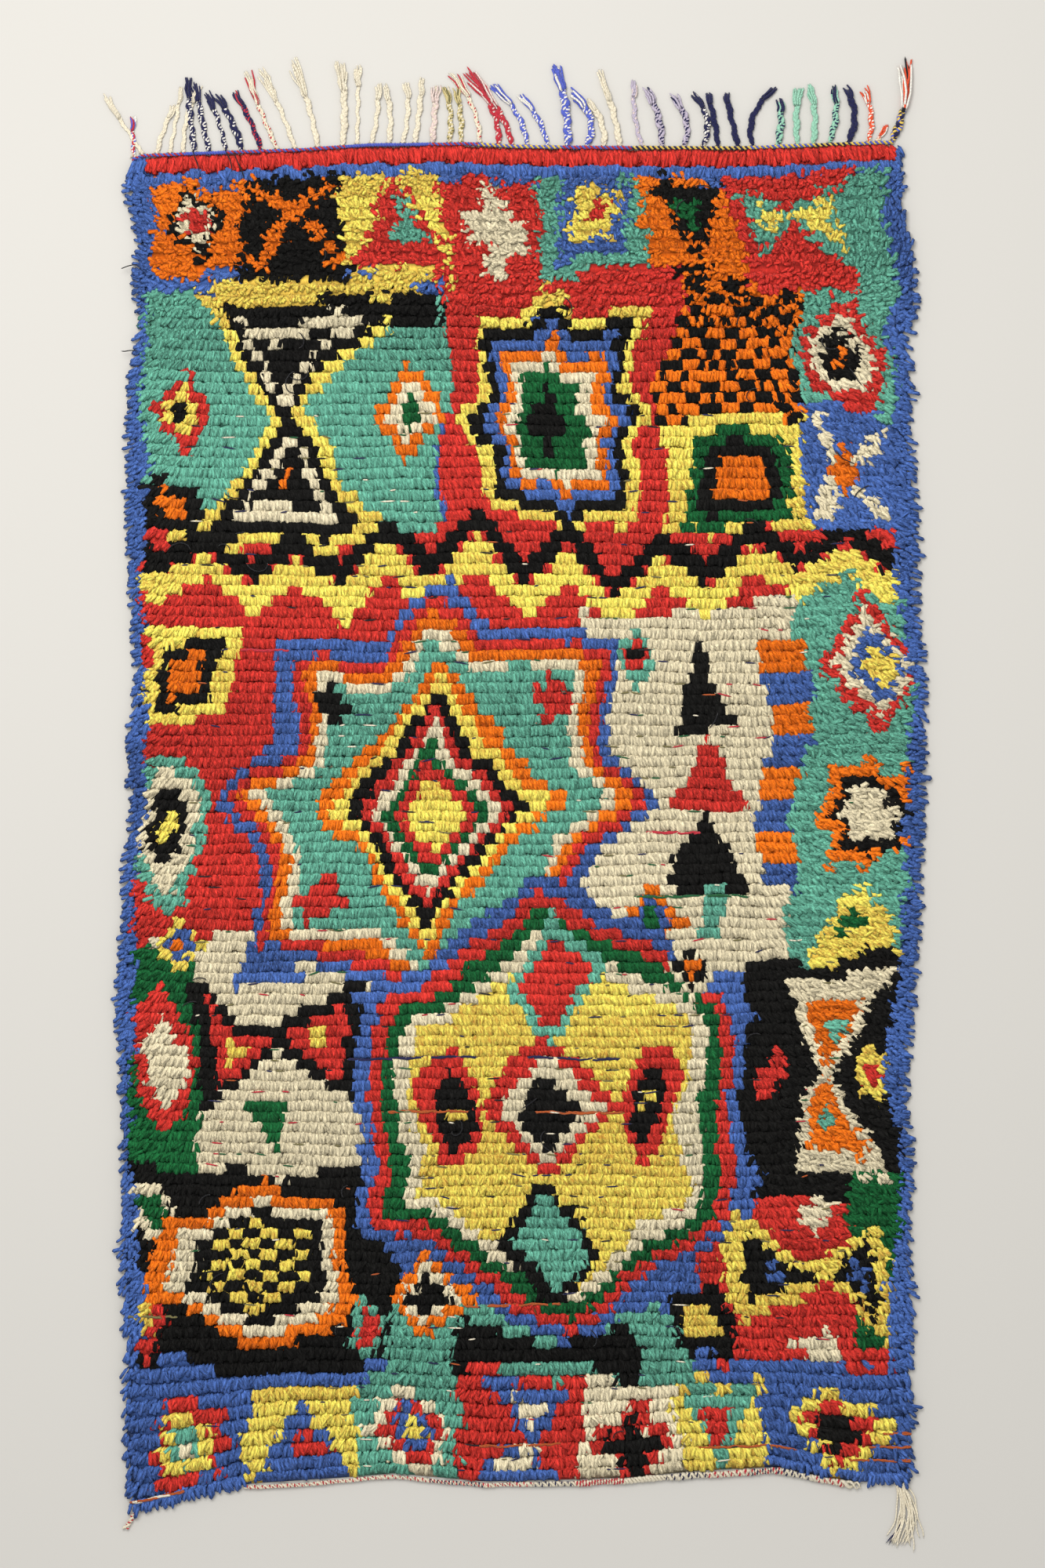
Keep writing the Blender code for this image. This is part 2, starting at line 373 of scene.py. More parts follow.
def calculate(tree, operation, first, second=0.0):
    return add_node(tree, "Math", {0: first, 1: second}, operation=operation)["Value"]


def remap(tree, value, low, high, to_low, to_high):
    """low becomes to_low and high becomes to_high, with straight steps between and a stop at both."""
    ends = {"From Min": low, "From Max": high, "To Min": to_low, "To Max": to_high}
    return add_node(tree, "MapRange", {"Value": value, **ends})["Result"]


def mix(tree, kind, factor, first, second, **settings):
    """first + factor (second - first), for kind FLOAT, VECTOR or RGBA."""
    inputs = {"Factor": factor, "A": first, "B": second}
    return add_node(tree, "Mix", inputs, data_type=kind, **settings)["Result"]


def noise(tree, place, stretch, size, grain):
    """Noise read at a place times stretch. The smaller a stretch, the longer the noise runs that way."""
    stretched = add_node(tree, "VectorMath", {0: place, 1: stretch}, operation="MULTIPLY")["Vector"]
    return add_node(tree, "TexNoise", {"Vector": stretched, "Scale": size, **grain})["Fac"]


def crinkle_noise(tree, stretch=(1, 1, 1)):
    """Noise of the size of the wool's crimp, read at the object's own place."""
    place = add_node(tree, "TexCoord", {})["Object"]
    return noise(tree, place, stretch, CRINKLE_SIZE, CRINKLE)


def shade_by(tree, colour, amount):
    """The colour times an amount that is the same for red, green and blue."""
    grey = add_node(tree, "CombineXYZ", {"X": amount, "Y": amount, "Z": amount})["Vector"]
    return mix(tree, "RGBA", 1, colour, grey, blend_type="MULTIPLY")


# %% Yarn materials
FIBRE_STRETCH = (720, 720, 75)
STREAK_STRETCH = (520, 520, 60)
FUZZ_BUMP = 0.0011
MATTING = 0.75
GLOSS = 0.18
SHEEN_ROUGHNESS = 0.45


def wool_shader(name, sheen):
    material = bpy.data.materials.new(name)
    material.use_nodes = True
    shader = material.node_tree.nodes["Principled BSDF"]
    shader.inputs["Specular IOR Level"].default_value = GLOSS
    shader.inputs["Sheen Weight"].default_value = sheen
    shader.inputs["Sheen Roughness"].default_value = SHEEN_ROUGHNESS
    return material, material.node_tree, shader


def finish_wool(tree, shader, colour, fuzz, matting=0.0):
    """Links colour, roughness and bump. fuzz is the fibre noise.

    Matting turns the surface's own direction towards the yarn's lay: own + matting (lay - own).
    """
    bump = {"Strength": 0.9, "Distance": FUZZ_BUMP, "Height": fuzz}
    if matting:
        own = add_node(tree, "NewGeometry", {})["Normal"]
        mixed = mix(tree, "VECTOR", matting, own, read(tree, "lay"))
        bump["Normal"] = add_node(tree, "VectorMath", {0: mixed}, operation="NORMALIZE")["Vector"]
    tree.links.new(colour, shader.inputs["Base Color"])
    tree.links.new(remap(tree, fuzz, 0.3, 0.7, 0.98, 0.8), shader.inputs["Roughness"])
    tree.links.new(add_node(tree, "Bump", bump)["Normal"], shader.inputs["Normal"])


def pile_wool(name, colour, depth, sheen):
    """Wool of one dye, from (1 - depth) to (1 + depth) of it. Shade = fibre noise + crinkle + light streaks
    + the tuft's own tone. The light streaks are pale fibres and in part a painted sheen highlight."""
    material, tree, shader = wool_shader(name, sheen)
    place = read(tree, "fibre")
    fibres = remap(tree, noise(tree, place, FIBRE_STRETCH, 1.0, FIBRES), 0.3, 0.7, -0.7, 0.7)
    both = calculate(tree, "ADD", fibres, remap(tree, crinkle_noise(tree), 0.3, 0.7, -0.2, 0.2))
    # Light streaks: pale fibres, and in part a painted sheen highlight on them
    pale_fibre_and_sheen_streaks = remap(tree, noise(tree, place, STREAK_STRETCH, 1.0, STREAKS), 0.56, 0.68, -0.08, 0.62)
    tone = split(tree, read(tree, "tone"))["X"]
    shade = calculate(tree, "ADD", calculate(tree, "ADD", both, pale_fibre_and_sheen_streaks), tone)
    base = np.array(colour)
    dark = (*(base * (1 - depth)), 1)
    pale = (*np.minimum(base * (1 + depth) + 0.01 * depth, 1), 1)
    mixed = mix(tree, "RGBA", shade, dark, pale, clamp_factor=False)
    finish_wool(tree, shader, mixed, calculate(tree, "ADD", both, 0.5), MATTING)
    return material


# %% [markdown]
# ## The knot grid
# A weaver counts knots, not millimetres. The grid has as many knots across as there are warp pairs, and rows
# that are wider apart near the bottom edge, where the pile is coarser. The grid is straight at first, and is
# then laid between the uneven edges, with rows that arch a little.

# %% Knot grid
KNOTS = 142
ROW_STEP = 0.0154
END_STEP = 0.0190
BAND_STEP = 0.0200
ROWS = 121
SIDE_OVERHANG = 0.0105
TOP_OVERHANG = 0.0025
BOTTOM_OVERHANG = 0.0200


def row_heights():
    """Straight y of each row from the top: BAND_STEP for two bands, then ROW_STEP, then END_STEP."""
    steps = ROW_STEP + (END_STEP - ROW_STEP) * ease(ROWS - 13, ROWS - 7, np.arange(1, ROWS))
    steps[:2] = BAND_STEP
    down = np.concatenate([[0], np.cumsum(steps)])
    span = (TOP - TOP_OVERHANG) - (BOTTOM + BOTTOM_OVERHANG)
    return TOP - TOP_OVERHANG - down * span / down[-1]


def lay_between_edges(across, straight_y):
    """Place of a knot on the floor: across runs from -1 to 1, and straight_y is its row's height.

    y = straight y + how far the nearer end edge strays, fading inwards, + a slow arch, and
    x = the middle between the side lines at y + across times half the distance between them.
    """
    rough_x = across * HALF_WIDTH
    to_top = ease(TOP - 0.16, TOP - 0.01, straight_y) * (top_line(rough_x) - TOP)
    to_bottom = ease(-(BOTTOM + 0.24), -(BOTTOM + 0.01), -straight_y) * (bottom_line(rough_x) - BOTTOM)
    arch = 0.0030 * ripple(rough_x * 30, straight_y * 40, 3) * ease(0, 0.05, TOP - np.abs(straight_y))
    y = straight_y + to_top + to_bottom + arch
    left = left_line(y) + SIDE_OVERHANG
    right = right_line(y) - SIDE_OVERHANG
    return (left + right) / 2 + across * (right - left) / 2, y


row_y = row_heights()
across_grid, straight_grid = np.meshgrid((np.arange(KNOTS) + 0.5) / KNOTS * 2 - 1, row_y)
knot_x, knot_y = lay_between_edges(across_grid, straight_grid)
print(KNOTS * ROWS, "knots, each", round(1000 * 2 * (HALF_WIDTH - SIDE_OVERHANG) / KNOTS, 1), "mm wide")

# %% [markdown]
# ## The design
# Such rugs are composed freely on the loom. This one is a design of our own from common motifs of the region,
# such as lozenges, stars, hourglasses, combs of triangles and chequers. It is painted on the grid in the
# order of a table, each motif over the last. A shape function says how deep a knot lies in its motif, and
# rings of other yarn are steps of that depth. Slow ripples bend every outline, since the weaver counted
# by eye.

# %% Motif shapes
BORDER = 10
YARNS = ("black", "blue", "teal", "green", "red", "orange", "yellow", "cream")
NUMBER = {name: index for index, name in enumerate(YARNS)} | {"border": BORDER}
# How deep a place lies in a shape: 0 at its outline and 1 in its middle. u and v run from -1 to 1 across it,
# and a and b are their sizes without the sign
SHAPES = {
    "lozenge": lambda a, b, v: 1 - (a + b),
    "oval": lambda a, b, v: 1 - (a ** 1.7 + b ** 1.7) ** (1 / 1.7),
    "box": lambda a, b, v: 1 - np.maximum(a, b),
    "hexagon": lambda a, b, v: 1 - np.maximum(a, 0.5 * a + b),
    "star": lambda a, b, v: 1 - np.minimum(np.maximum(a, b) * 1.32, a + b),
    "cross": lambda a, b, v: 1 - np.minimum(np.maximum(a, b * 2.7), np.maximum(a * 2.7, b)),
    "hourglass": lambda a, b, v: np.minimum(0.16 + 0.84 * b - a, 1 - b),
    "bow": lambda a, b, v: np.minimum(0.16 + 0.84 * a - b, 1 - a),
    "saltire": lambda a, b, v: np.minimum(0.2 - np.abs(a - b), 1 - np.maximum(a, b)),
    "peak": lambda a, b, v: np.minimum((1 - v) / 2 - a, (1 + v) / 2),
    "valley": lambda a, b, v: np.minimum((1 + v) / 2 - a, (1 - v) / 2),
    "zigzag": lambda a, b, v: 1 - b,
}

# %% The design's table
# Columns, in centimetres: shape, middle x, middle y, half width, half height, yarns from the outline inwards,
# and where they aren't as in PLAIN: ring width, lean to the right for each step up, filling
PLAIN = (0, 0, "plain")
DESIGN = (
    # Grounds
    ("box", 0, -2, 58, 98, "blue"), ("box", -46, 85, 7.6, 7, "orange"),
    ("box", -32, 84, 7, 8, "black", 0, 0.1), ("box", -18, 85, 8, 8, "yellow"),
    ("box", -3, 84, 8, 7.4, "red"), ("box", 11, 85, 7, 9, "teal", 0, 0.1), ("box", 25, 84, 8, 8, "orange"),
    ("box", 41, 85, 9.5, 9, "red"), ("box", 52, 83, 3.4, 8, "teal"), ("box", -34, 58, 22, 18, "teal"),
    ("box", 5, 58, 17, 19, "red", 0, -0.05), ("box", 31, 66, 10, 10, "black orange", 0, 0, "flecks"),
    ("box", 47, 67, 7, 9.4, "teal"), ("box", 31, 48, 10, 9, "yellow"), ("box", 47, 50, 7, 9, "blue"),
    ("box", 0, 34, 57, 7, "red"), ("box", 25, 4, 18, 26, "cream"), ("box", 47, 6, 9, 28, "teal"),
    ("box", -47, 4, 10, 26, "red"), ("box", -36, -34, 20, 17, "cream"), ("box", -36, -64, 20, 14, "black"),
    ("box", 44, -38, 12, 18, "black"), ("box", 42, -66, 14, 12, "red"), ("box", 4, -76, 22, 6, "teal"),
    ("box", -51, -34, 5.5, 16, "green"), ("box", 52, -62, 5, 13, "green"),
    # Top row
    ("lozenge", -46, 85, 5.4, 6.4, "black cream red", 1.6), ("saltire", -32, 84, 5.6, 6.6, "orange"),
    ("peak", -18, 85, 6.8, 6.8, "red teal black", 1.7), ("cross", -3, 84, 5, 6, "cream"),
    ("box", 11, 85, 4.4, 6, "blue yellow red", 1.6, 0.1),
    ("valley", 25, 84, 6.8, 7, "black green cream", 1.8),
    ("bow", 41, 85, 7.6, 6.2, "teal yellow black", 1.7),
    # Hourglass on teal, with a lozenge in each of its sides
    ("hourglass", -33, 58, 17, 18, "yellow black cream black orange", 2.0, 0.06, "chequer"),
    ("lozenge", -49, 59, 4.6, 7.4, "red yellow black", 1.6),
    ("lozenge", -17, 57, 4.6, 6.8, "orange cream green", 1.6),
    ("box", -51, 44, 3.6, 3.2, "black orange", 1.6), ("box", -17, 73, 3.2, 2.4, "black"),
    # Star on red
    ("star", 5, 58, 16, 19, "yellow black blue orange cream green", 1.8, -0.05),
    ("cross", 5, 58, 3.4, 5, "black"),
    # Boxes at the upper right
    ("oval", 47, 67, 6.4, 8.6, "red cream black orange", 1.5, 0, "chequer"),
    ("box", 31, 48, 6.6, 5.8, "green black orange", 1.7), ("saltire", 47, 50, 5.6, 7, "cream"),
    ("lozenge", 47, 50, 2.4, 3.2, "orange"),
    # Zigzag across
    ("zigzag", 0, 34, 54, 2.2, "yellow"), ("zigzag", 0, 38.4, 54, 1.7, "black"),
    # Large star at the left, with nested lozenges in it
    ("star", -13, 2, 31, 32, "blue red orange cream teal teal teal", 1.9, 0.05),
    ("lozenge", -13, 2, 18, 21, "orange yellow black red cream green red yellow", 1.9, 0.05),
    ("cross", -29, 17, 3, 3.6, "black"), ("cross", 3, 16, 3, 3.6, "red"), ("cross", -29, -12, 3, 3.6, "red"),
    ("cross", 3, -13, 3, 3.6, "black"),
    # Left column
    ("box", -48, 20, 5.6, 6, "yellow black orange", 1.6),
    ("oval", -50, -2, 5.6, 11, "teal cream black yellow green", 1.5),
    ("lozenge", -48, -18, 4.4, 4.4, "yellow blue orange", 1.5),
    # Cream field with a pole of triangles and a ladder
    ("peak", 26, 20, 5.6, 6, "black"), ("peak", 26, 8, 6.4, 6, "red"), ("peak", 26, -4, 7, 6, "black"),
    ("box", 26, -12, 1.8, 4, "teal"), ("box", 37, 8, 2.6, 17, "blue orange", 0, 0, "bars"),
    ("lozenge", 15, 24, 4.6, 5.4, "teal red black", 1.5),
    ("lozenge", 17, -15, 4.6, 6, "orange blue green", 1.5),
    # Right column
    ("lozenge", 48, 21, 7, 11, "red cream blue yellow", 1.6),
    ("star", 48, 0, 6.8, 8, "orange black cream", 1.5), ("peak", 48, -15, 6, 5, "yellow green", 1.7),
    # Lower left
    ("oval", -51, -34, 3.6, 11, "red cream", 1.5), ("bow", -34, -32, 12.5, 9.5, "black red yellow", 1.9),
    ("peak", -34, -21, 5, 3.4, "blue"), ("valley", -34, -44, 5, 3.4, "green"),
    ("lozenge", -52, -72, 4, 6, "red yellow teal", 1.4), ("lozenge", -22, -73, 4, 5, "teal red", 1.4),
    ("lozenge", -52, -56, 3.4, 4.6, "cream green", 1.4),
    ("hexagon", -37, -63, 14, 12.6, "orange cream black yellow", 1.8, 0, "chequer"),
    # Large hexagon at the right, with a pole of three lozenges
    ("hexagon", 5, -42, 27, 34, "blue red green cream yellow yellow yellow", 1.9, -0.05),
    ("lozenge", 6, -23, 8, 9, "teal red", 2.2), ("lozenge", 5, -41, 11, 11, "red cream black", 2.4),
    ("lozenge", 4, -60, 8, 9, "black teal", 2.2),
    ("oval", -10, -41, 4, 9, "red black yellow", 1.4, 0, "chequer"),
    ("oval", 20, -41, 4, 9, "red black yellow", 1.4, 0, "chequer"),
    ("lozenge", -12, -69, 5.4, 5.4, "orange cream black", 1.5),
    ("lozenge", 24, -22, 4.6, 5.4, "cream black orange", 1.5),
    # Lower right
    ("hourglass", 45, -36, 8, 14, "cream orange teal green", 1.7),
    ("lozenge", 53, -36, 2.8, 5, "yellow red", 1.4), ("lozenge", 37, -36, 2.8, 4.6, "red"),
    ("bow", 42, -66, 11, 9, "yellow black blue", 1.8), ("lozenge", 42, -76, 3.4, 3, "cream"),
    ("lozenge", 42, -56, 3.4, 3, "cream"), ("box", 27, -72, 3.4, 5, "black yellow", 1.6),
    ("bow", 4, -76, 12, 4.4, "black"),
    # Bottom row
    ("box", -46, -88, 9, 8, "blue"), ("box", -31, -88, 7.6, 8, "yellow"), ("box", -15, -88, 8.6, 8, "teal"),
    ("box", 1, -88, 8, 8, "red"), ("box", 16, -88, 7.6, 8, "cream"), ("box", 30, -88, 7, 8, "yellow"),
    ("box", 45, -88, 9, 8, "blue"), ("star", -46, -88, 6.4, 6.6, "red yellow teal cream", 1.7),
    ("peak", -31, -88, 6.4, 6.4, "blue red cream black", 1.7),
    ("lozenge", -15, -88, 7.4, 7, "cream red blue yellow", 1.7),
    ("hourglass", 1, -88, 6, 7, "blue cream black", 1.7), ("cross", 16, -88, 6, 6.6, "red black", 1.7),
    ("valley", 30, -88, 6, 6.6, "teal red cream", 1.7),
    ("lozenge", 45, -88, 6.6, 7, "yellow red black", 1.7),
)

# %% Paint the design
CHEQUER_WIDTH = 2.4
BAR_HEIGHT = 4.6
ZIGZAG_RISE = 2.6
ZIGZAG_LENGTH = 13.0
STRAY_SHARE = 0.1
HALF_WIDTH_CM = 56
LEFT_BORDER = 1.9
RIGHT_BORDER = 2.6
BORDER_SWAY = 1.5


def triangle_wave(place):
    """Falls from 1 to -1 and rises back over one unit of place."""
    return 4 * np.abs(place - np.floor(place + 0.5)) - 1


def two_yarns(filling, x, y, row):
    """True where the second of two yarns fills a motif: in squares, in bars, or in squares with strays."""
    if filling == "bars":
        return np.floor(y / BAR_HEIGHT) % 2 == 1
    odd = (np.floor(x / CHEQUER_WIDTH) + row) % 2 == 1
    if filling == "flecks":
        return odd ^ (rng.random(x.shape) < STRAY_SHARE)
    return odd if filling == "chequer" else np.zeros(x.shape, bool)


def paint(x, y, row):
    """Yarn number of each knot. x and y are its place on the straight grid, in centimetres."""
    yarn = np.full(x.shape, NUMBER["blue"])
    bent_x = x + 2.2 * ripple(x * 0.35, y * 0.35, 5) + 0.7 * ripple(x * 0.8, y, 1)
    bent_y = y + 2.0 * ripple(x * 0.3, y * 0.3, 6) + 0.8 * ripple(x, y * 0.6, 2)
    for shape, middle_x, middle_y, wide, high, names, *more in DESIGN:
        ring, lean, filling = (*more, *PLAIN[len(more):])
        v = (bent_y - middle_y) / high
        u = (bent_x - middle_x - lean * (bent_y - middle_y)) / wide
        if shape == "zigzag":
            v = v - ZIGZAG_RISE * triangle_wave(x / ZIGZAG_LENGTH) / high
        depth = SHAPES[shape](np.abs(u), np.abs(v), v)
        codes = np.array([NUMBER[name] for name in names.split()])
        last = len(codes) - 1 if ring else 0
        step = np.clip(depth * min(wide, high) / ring, 0, last).astype(int) if ring else 0 * row
        first = codes[-2] if filling != "plain" else codes[last]
        inside = np.where(two_yarns(filling, x, y - middle_y, row), codes[-1], first)
        yarn = np.where((depth > 0) & (np.abs(u) < 1), np.where(step == last, inside, codes[step]), yarn)
    return yarn


row_grid = np.arange(ROWS)[:, None] + np.zeros((1, KNOTS), int)
knot_yarn = paint(across_grid * HALF_WIDTH_CM, straight_grid * 100, row_grid)
from_side = np.minimum(np.arange(KNOTS), np.arange(KNOTS)[::-1])[None] + 0 * row_grid
border_width = np.where(across_grid < 0, LEFT_BORDER, RIGHT_BORDER)
border_width = border_width + BORDER_SWAY * ripple(straight_grid * 38, across_grid * 3, 4)
knot_yarn = np.where(from_side < border_width, BORDER, knot_yarn)
knot_yarn[1] = BORDER
knot_yarn[0] = np.where((np.arange(KNOTS) < 3) | (np.arange(KNOTS) > KNOTS - 2), BORDER, NUMBER["red"])
print({name: round(100 * float((knot_yarn == number).mean()), 1) for name, number in NUMBER.items()})

# %% [markdown]
# ## The pile
# Each knot gives four yarn ends. On the loom they are pulled towards the weaver, so in most of the rug they
# lie over towards the bottom edge, each row covering the next one's knots like a roll. At the sides they have
# fallen outwards, and near the fringe they stand up and then lie the other way. A yarn end is the path of its
# middle, from the knot up over a crest to its tip. The path mixes an upright and a lying one by how far it
# lies. The looser the pile lies, the more its ends stray, and the ends of one knot stray together.

# %% Lay of the pile
# Four stations of a yarn end, from the knot to the tip: how far out and how high, lying and standing, and its
# half width and half height there
LYING_REACH = np.array((-1.0, 5.0, 17.2, 20.4)) * MM
LYING_HEIGHT = np.array((3.0, 11.8, 10.8, 7.8)) * MM
STANDING_REACH = np.array((0.0, 2.6, 9.2, 11.6)) * MM
STANDING_HEIGHT = np.array((2.0, 10.8, 13.4, 13.8)) * MM
HALF_WIDTHS = np.array((0.0, 3.0, 3.1, 0.0)) * MM
HALF_HEIGHTS = np.array((0.0, 0.9, 0.8, 0.0)) * MM
LOWEST = 1.2 * MM
KNOT_ENDS = 4
END_SPREAD = 2.9
OUTWARD_TURN = 1.35
TUFT_SIDES = 3
TUFT_TWIST = 260.0
GOLDEN = 0.618034
KNOT_WAVES = 590
LONG_AT_TOP = 1.28
SHORT_AT_CORD = 0.76
CLOSING_LEFT = -0.397
CLOSING_RIGHT = 0.490


def lay_at(x, straight_y):
    """The direction in which the pile lies at a place, how far over (1 flat, 0 upright) and how far outwards.

    The lay is straight down, turned outwards by OUTWARD_TURN times the share outwards. It is mixed with
    one that leans up and a little to the left, by the share upwards, and the first two rows lie down again.
    """
    first_rows = ease(TOP - 0.040, TOP - 0.034, straight_y)
    upwards = 0.85 * ease(0.66, 0.86, straight_y) * (1 - 0.5 * ease(TOP - 0.09, TOP - 0.045, straight_y))
    upwards = upwards * (1 - first_rows)
    lower = ease(0.42, 0.80, -straight_y)
    right = 0.80 * ease(0.28, 0.46, x) * (1 - 0.75 * lower)
    left = 0.50 * ease(0.42, 0.53, -x) * (1 - 0.65 * lower)
    outwards = (right + left + 0.20 * ease(0.520, 0.550, np.abs(x))) * (1 - 0.7 * first_rows)
    turn = OUTWARD_TURN * outwards * np.sign(x) + 0.26 * ripple(x * 14, straight_y * 9, 8)
    lay_x = np.sin(turn) * (1 - upwards) - 0.35 * upwards
    lay_y = -np.cos(turn) * (1 - upwards) + 0.75 * upwards
    size = np.hypot(lay_x, lay_y)
    return np.arctan2(lay_y, lay_x), np.clip(size, 0.3, 1), outwards


def tuft_lines(owner, slot):
    """Middle lines of all yarn ends, with their side vectors, half widths and half heights.

    A station is root + reach (cos a, sin a) + sway (-sin a, cos a), at its height, where a is the lay's
    direction with some jitter, and sway grows with the square of the way along. Each number times chance
    or wave is how far a place (in millimetres), an angle or a share of the length strays.
    """
    grids = (knot_x, knot_y, straight_grid, row_grid, from_side)
    x, y, straight_y, row, edge = (values.ravel()[owner] for values in grids)
    count = len(owner)

    def chance(spread, shape=count):
        return rng.normal(0, spread, shape)

    def wave(across, down, seed):
        return ripple(x * across, row * down, seed)

    angle, lying, outwards = lay_at(x, straight_y)
    at_side = ease(2.5, 0.5, edge)
    spread = (GOLDEN * (2 * owner + slot) + 0.37 * row) % 1 - 0.5
    loose = np.clip(2 * (1 - lying) + outwards + 0.7 * ease(0.30, 0.75, -straight_y), 0, 1)
    swell = 0.25 + 0.75 * loose
    astray = swell * chance(0.9, ROWS * KNOTS)[owner]
    x = x + (slot * END_SPREAD + chance(0.6) + astray) * MM
    bulge = swell * wave(KNOT_WAVES, 5.3, 13)
    y = y + (chance(0.7) + 1.3 * wave(120, 1.7, 12) + 0.8 * bulge) * MM
    y = y + np.maximum(outwards * 0.55, 0.95 * at_side) * spread * ROW_STEP
    in_bands = (row == 1) | (row == 2)
    ragged = (2.5 + 4.5 * ease(0.1, 0.4, -x)) * in_bands * wave(330, 7, 18)
    y = y + (np.where(row == 0, 2.6, 0.0) + ragged) * MM
    fan = (0.15 + 0.23 * loose + 0.6 * (1 - lying)) * (1 - 0.45 * at_side)
    knot_chance = chance(1, (2, ROWS * KNOTS))[:, owner]
    angle = angle + chance(1) * fan + 0.13 * swell * knot_chance[1] + 0.14 * swell * wave(KNOT_WAVES, 4.1, 14)
    slow = 0.05 * wave(55, 2.3, 11) + 0.09 * wave(260, 3.1, 16)
    long = 1 + slow + (0.05 + 0.07 * loose) * chance(1) + 0.03 * knot_chance[0] - 0.05 * bulge
    long = long + (0.10 * chance(1) + 0.20 * wave(500, 9, 17)) * (row < 2)
    long = long - 0.16 * at_side + 0.12 * ease(ROWS - 12, ROWS - 6, row)
    at_cord = (row == ROWS - 1) & (x > CLOSING_LEFT) & (x < CLOSING_RIGHT)
    long = np.where(at_cord, long * SHORT_AT_CORD, np.where(row == 0, long * LONG_AT_TOP, long))
    lies = lying[:, None]
    reach = (lies * LYING_REACH + (1 - lies) * STANDING_REACH) * long[:, None]
    height = lies * LYING_HEIGHT + (1 - lies) * STANDING_HEIGHT
    share = LYING_REACH / LYING_REACH[-1]
    fall = np.maximum(at_side, row == ROWS - 1)
    bump = (0.14 + 0.5 * loose) * chance(1) + 0.6 * swell * wave(KNOT_WAVES, 6.7, 15)
    height = height * (1 - 0.5 * fall[:, None] * share ** 2) + bump[:, None] * MM * (share > 0)
    free = (1 + outwards[:, None]) * MM
    sway = chance(0.9, (count, 1)) * free * share ** 2
    sway = sway + chance(0.7, (count, 1)) * free * np.sin(np.pi * share)
    cosine, sine = np.cos(angle)[:, None], np.sin(angle)[:, None]
    middle_x = x[:, None] + reach * cosine - sway * sine
    middle_y = y[:, None] + reach * sine + sway * cosine
    middle = np.stack([middle_x, middle_y, np.maximum(height, LOWEST)], -1)
    across = np.stack([-sine + 0 * reach, cosine + 0 * reach, 0 * reach], -1)
    stout = 1 + chance(0.12, (count, 1))
    fine = 1.15 - 0.15 * loose[:, None]
    return middle, across, HALF_WIDTHS * stout * fine, HALF_HEIGHTS * stout


owners = np.repeat(np.arange(ROWS * KNOTS), KNOT_ENDS)
tufts = tuft_lines(owners, np.tile(np.linspace(-1, 1, KNOT_ENDS), ROWS * KNOTS))
print(len(owners), "yarn ends, tips up to", round(float(tufts[0][..., 2].max()) * 1000, 1), "mm high")

# %% [markdown]
# Every dye has its own piece, so that a colour can be changed alone. The tone of a tuft is a small chance
# for each end, more alike within a few rows than farther apart, because the spinner's yarn changed from
# skein to skein.

# %% Make the pile
# Columns: yarn, sRGB colour, how far the shades spread, sheen
PILE = (
    ("black", (8, 7, 5), 0.35, 0.0),
    ("blue", (65, 97, 165), 0.34, 0.16),
    ("teal", (95, 165, 142), 0.32, 0.14),
    ("green", (12, 90, 44), 0.34, 0.05),
    ("red", (203, 48, 39), 0.32, 0.08),
    ("orange", (240, 110, 10), 0.30, 0.08),
    ("yellow", (255, 213, 90), 0.30, 0.12),
    ("cream", (227, 214, 179), 0.20, 0.14),
    ("border", (65, 97, 165), 0.34, 0.16),
)
SKEIN_ROWS = 5
SKEIN_CHANCE = 0.15
END_CHANCE = 0.10


def tuft_tones(owner, yarn):
    """Tone of each yarn end: 0.5, + a chance of its own, + its skein's. A skein lasts SKEIN_ROWS rows."""
    row, column = owner // KNOTS, owner % KNOTS
    skeins = rng.normal(0, SKEIN_CHANCE, (BORDER + 1, ROWS // SKEIN_ROWS + 3))
    skein = skeins[yarn, (row + (2 * ripple(column * 0.1, yarn, 6)).astype(int)) // SKEIN_ROWS + 1]
    tone = np.clip(0.5 + skein + rng.normal(0, END_CHANCE, len(owner)), 0.0, 1.0)
    return np.stack([tone, tone, tone], -1)


def make_pile():
    yarn = knot_yarn.ravel()[owners]
    tones = tuft_tones(owners, yarn)
    made = []
    for name, colour, spread, sheen in PILE:
        chosen = yarn == NUMBER[name]
        surface = yarn_surface(*(values[chosen] for values in tufts), TUFT_SIDES, TUFT_TWIST)
        material = pile_wool(name + " wool", linear(*colour), spread, sheen)
        piece = yarn_piece("pile_" + name, surface, TUFT_SIDES, 2.0, {"tone": tones[chosen]}, material)
        made.append(ride_as(piece, "pile"))
    return made


pile = make_pile()

# %% [markdown]
# ## The woven ground
# Under the yarn ends lies the ground: warp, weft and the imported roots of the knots, in one closed sheet. Its
# upper side swells into a roll over each row and dips where the next one starts, so no gap between two yarn
# ends looks deep. Its underside is flat and shows two small heads for each knot, with shots of weft between
# the rows.

# %% Ground sheet
GROUND_THICKNESS = 0.0028
GROUND_RIM = 0.001
VALLEY_AT = 0.0030
CREST_AT = 0.0100
BED_HEIGHT = 0.0092
CREST_RISE = 0.0013
VALLEY_DROP = 0.0034
COVER_REACH = 0.010
COVER_START = 0.0112
KNOT_STEP = 0.0077
MAP_CORNER = (0.6, 1.0)
MAP_SPAN = (2.44, 2.0)
# Painted shade of the ground's upper side: the share of the dye left on the crests and in the dips
CREST_PAINTED_SHADE = 0.88
VALLEY_PAINTED_SHADE = 0.34
LINES = 2 * ROWS + 1
STRIPS = KNOTS // 2
cell_row = np.clip((np.arange(LINES - 1) - 1) // 2, 0, ROWS - 1)


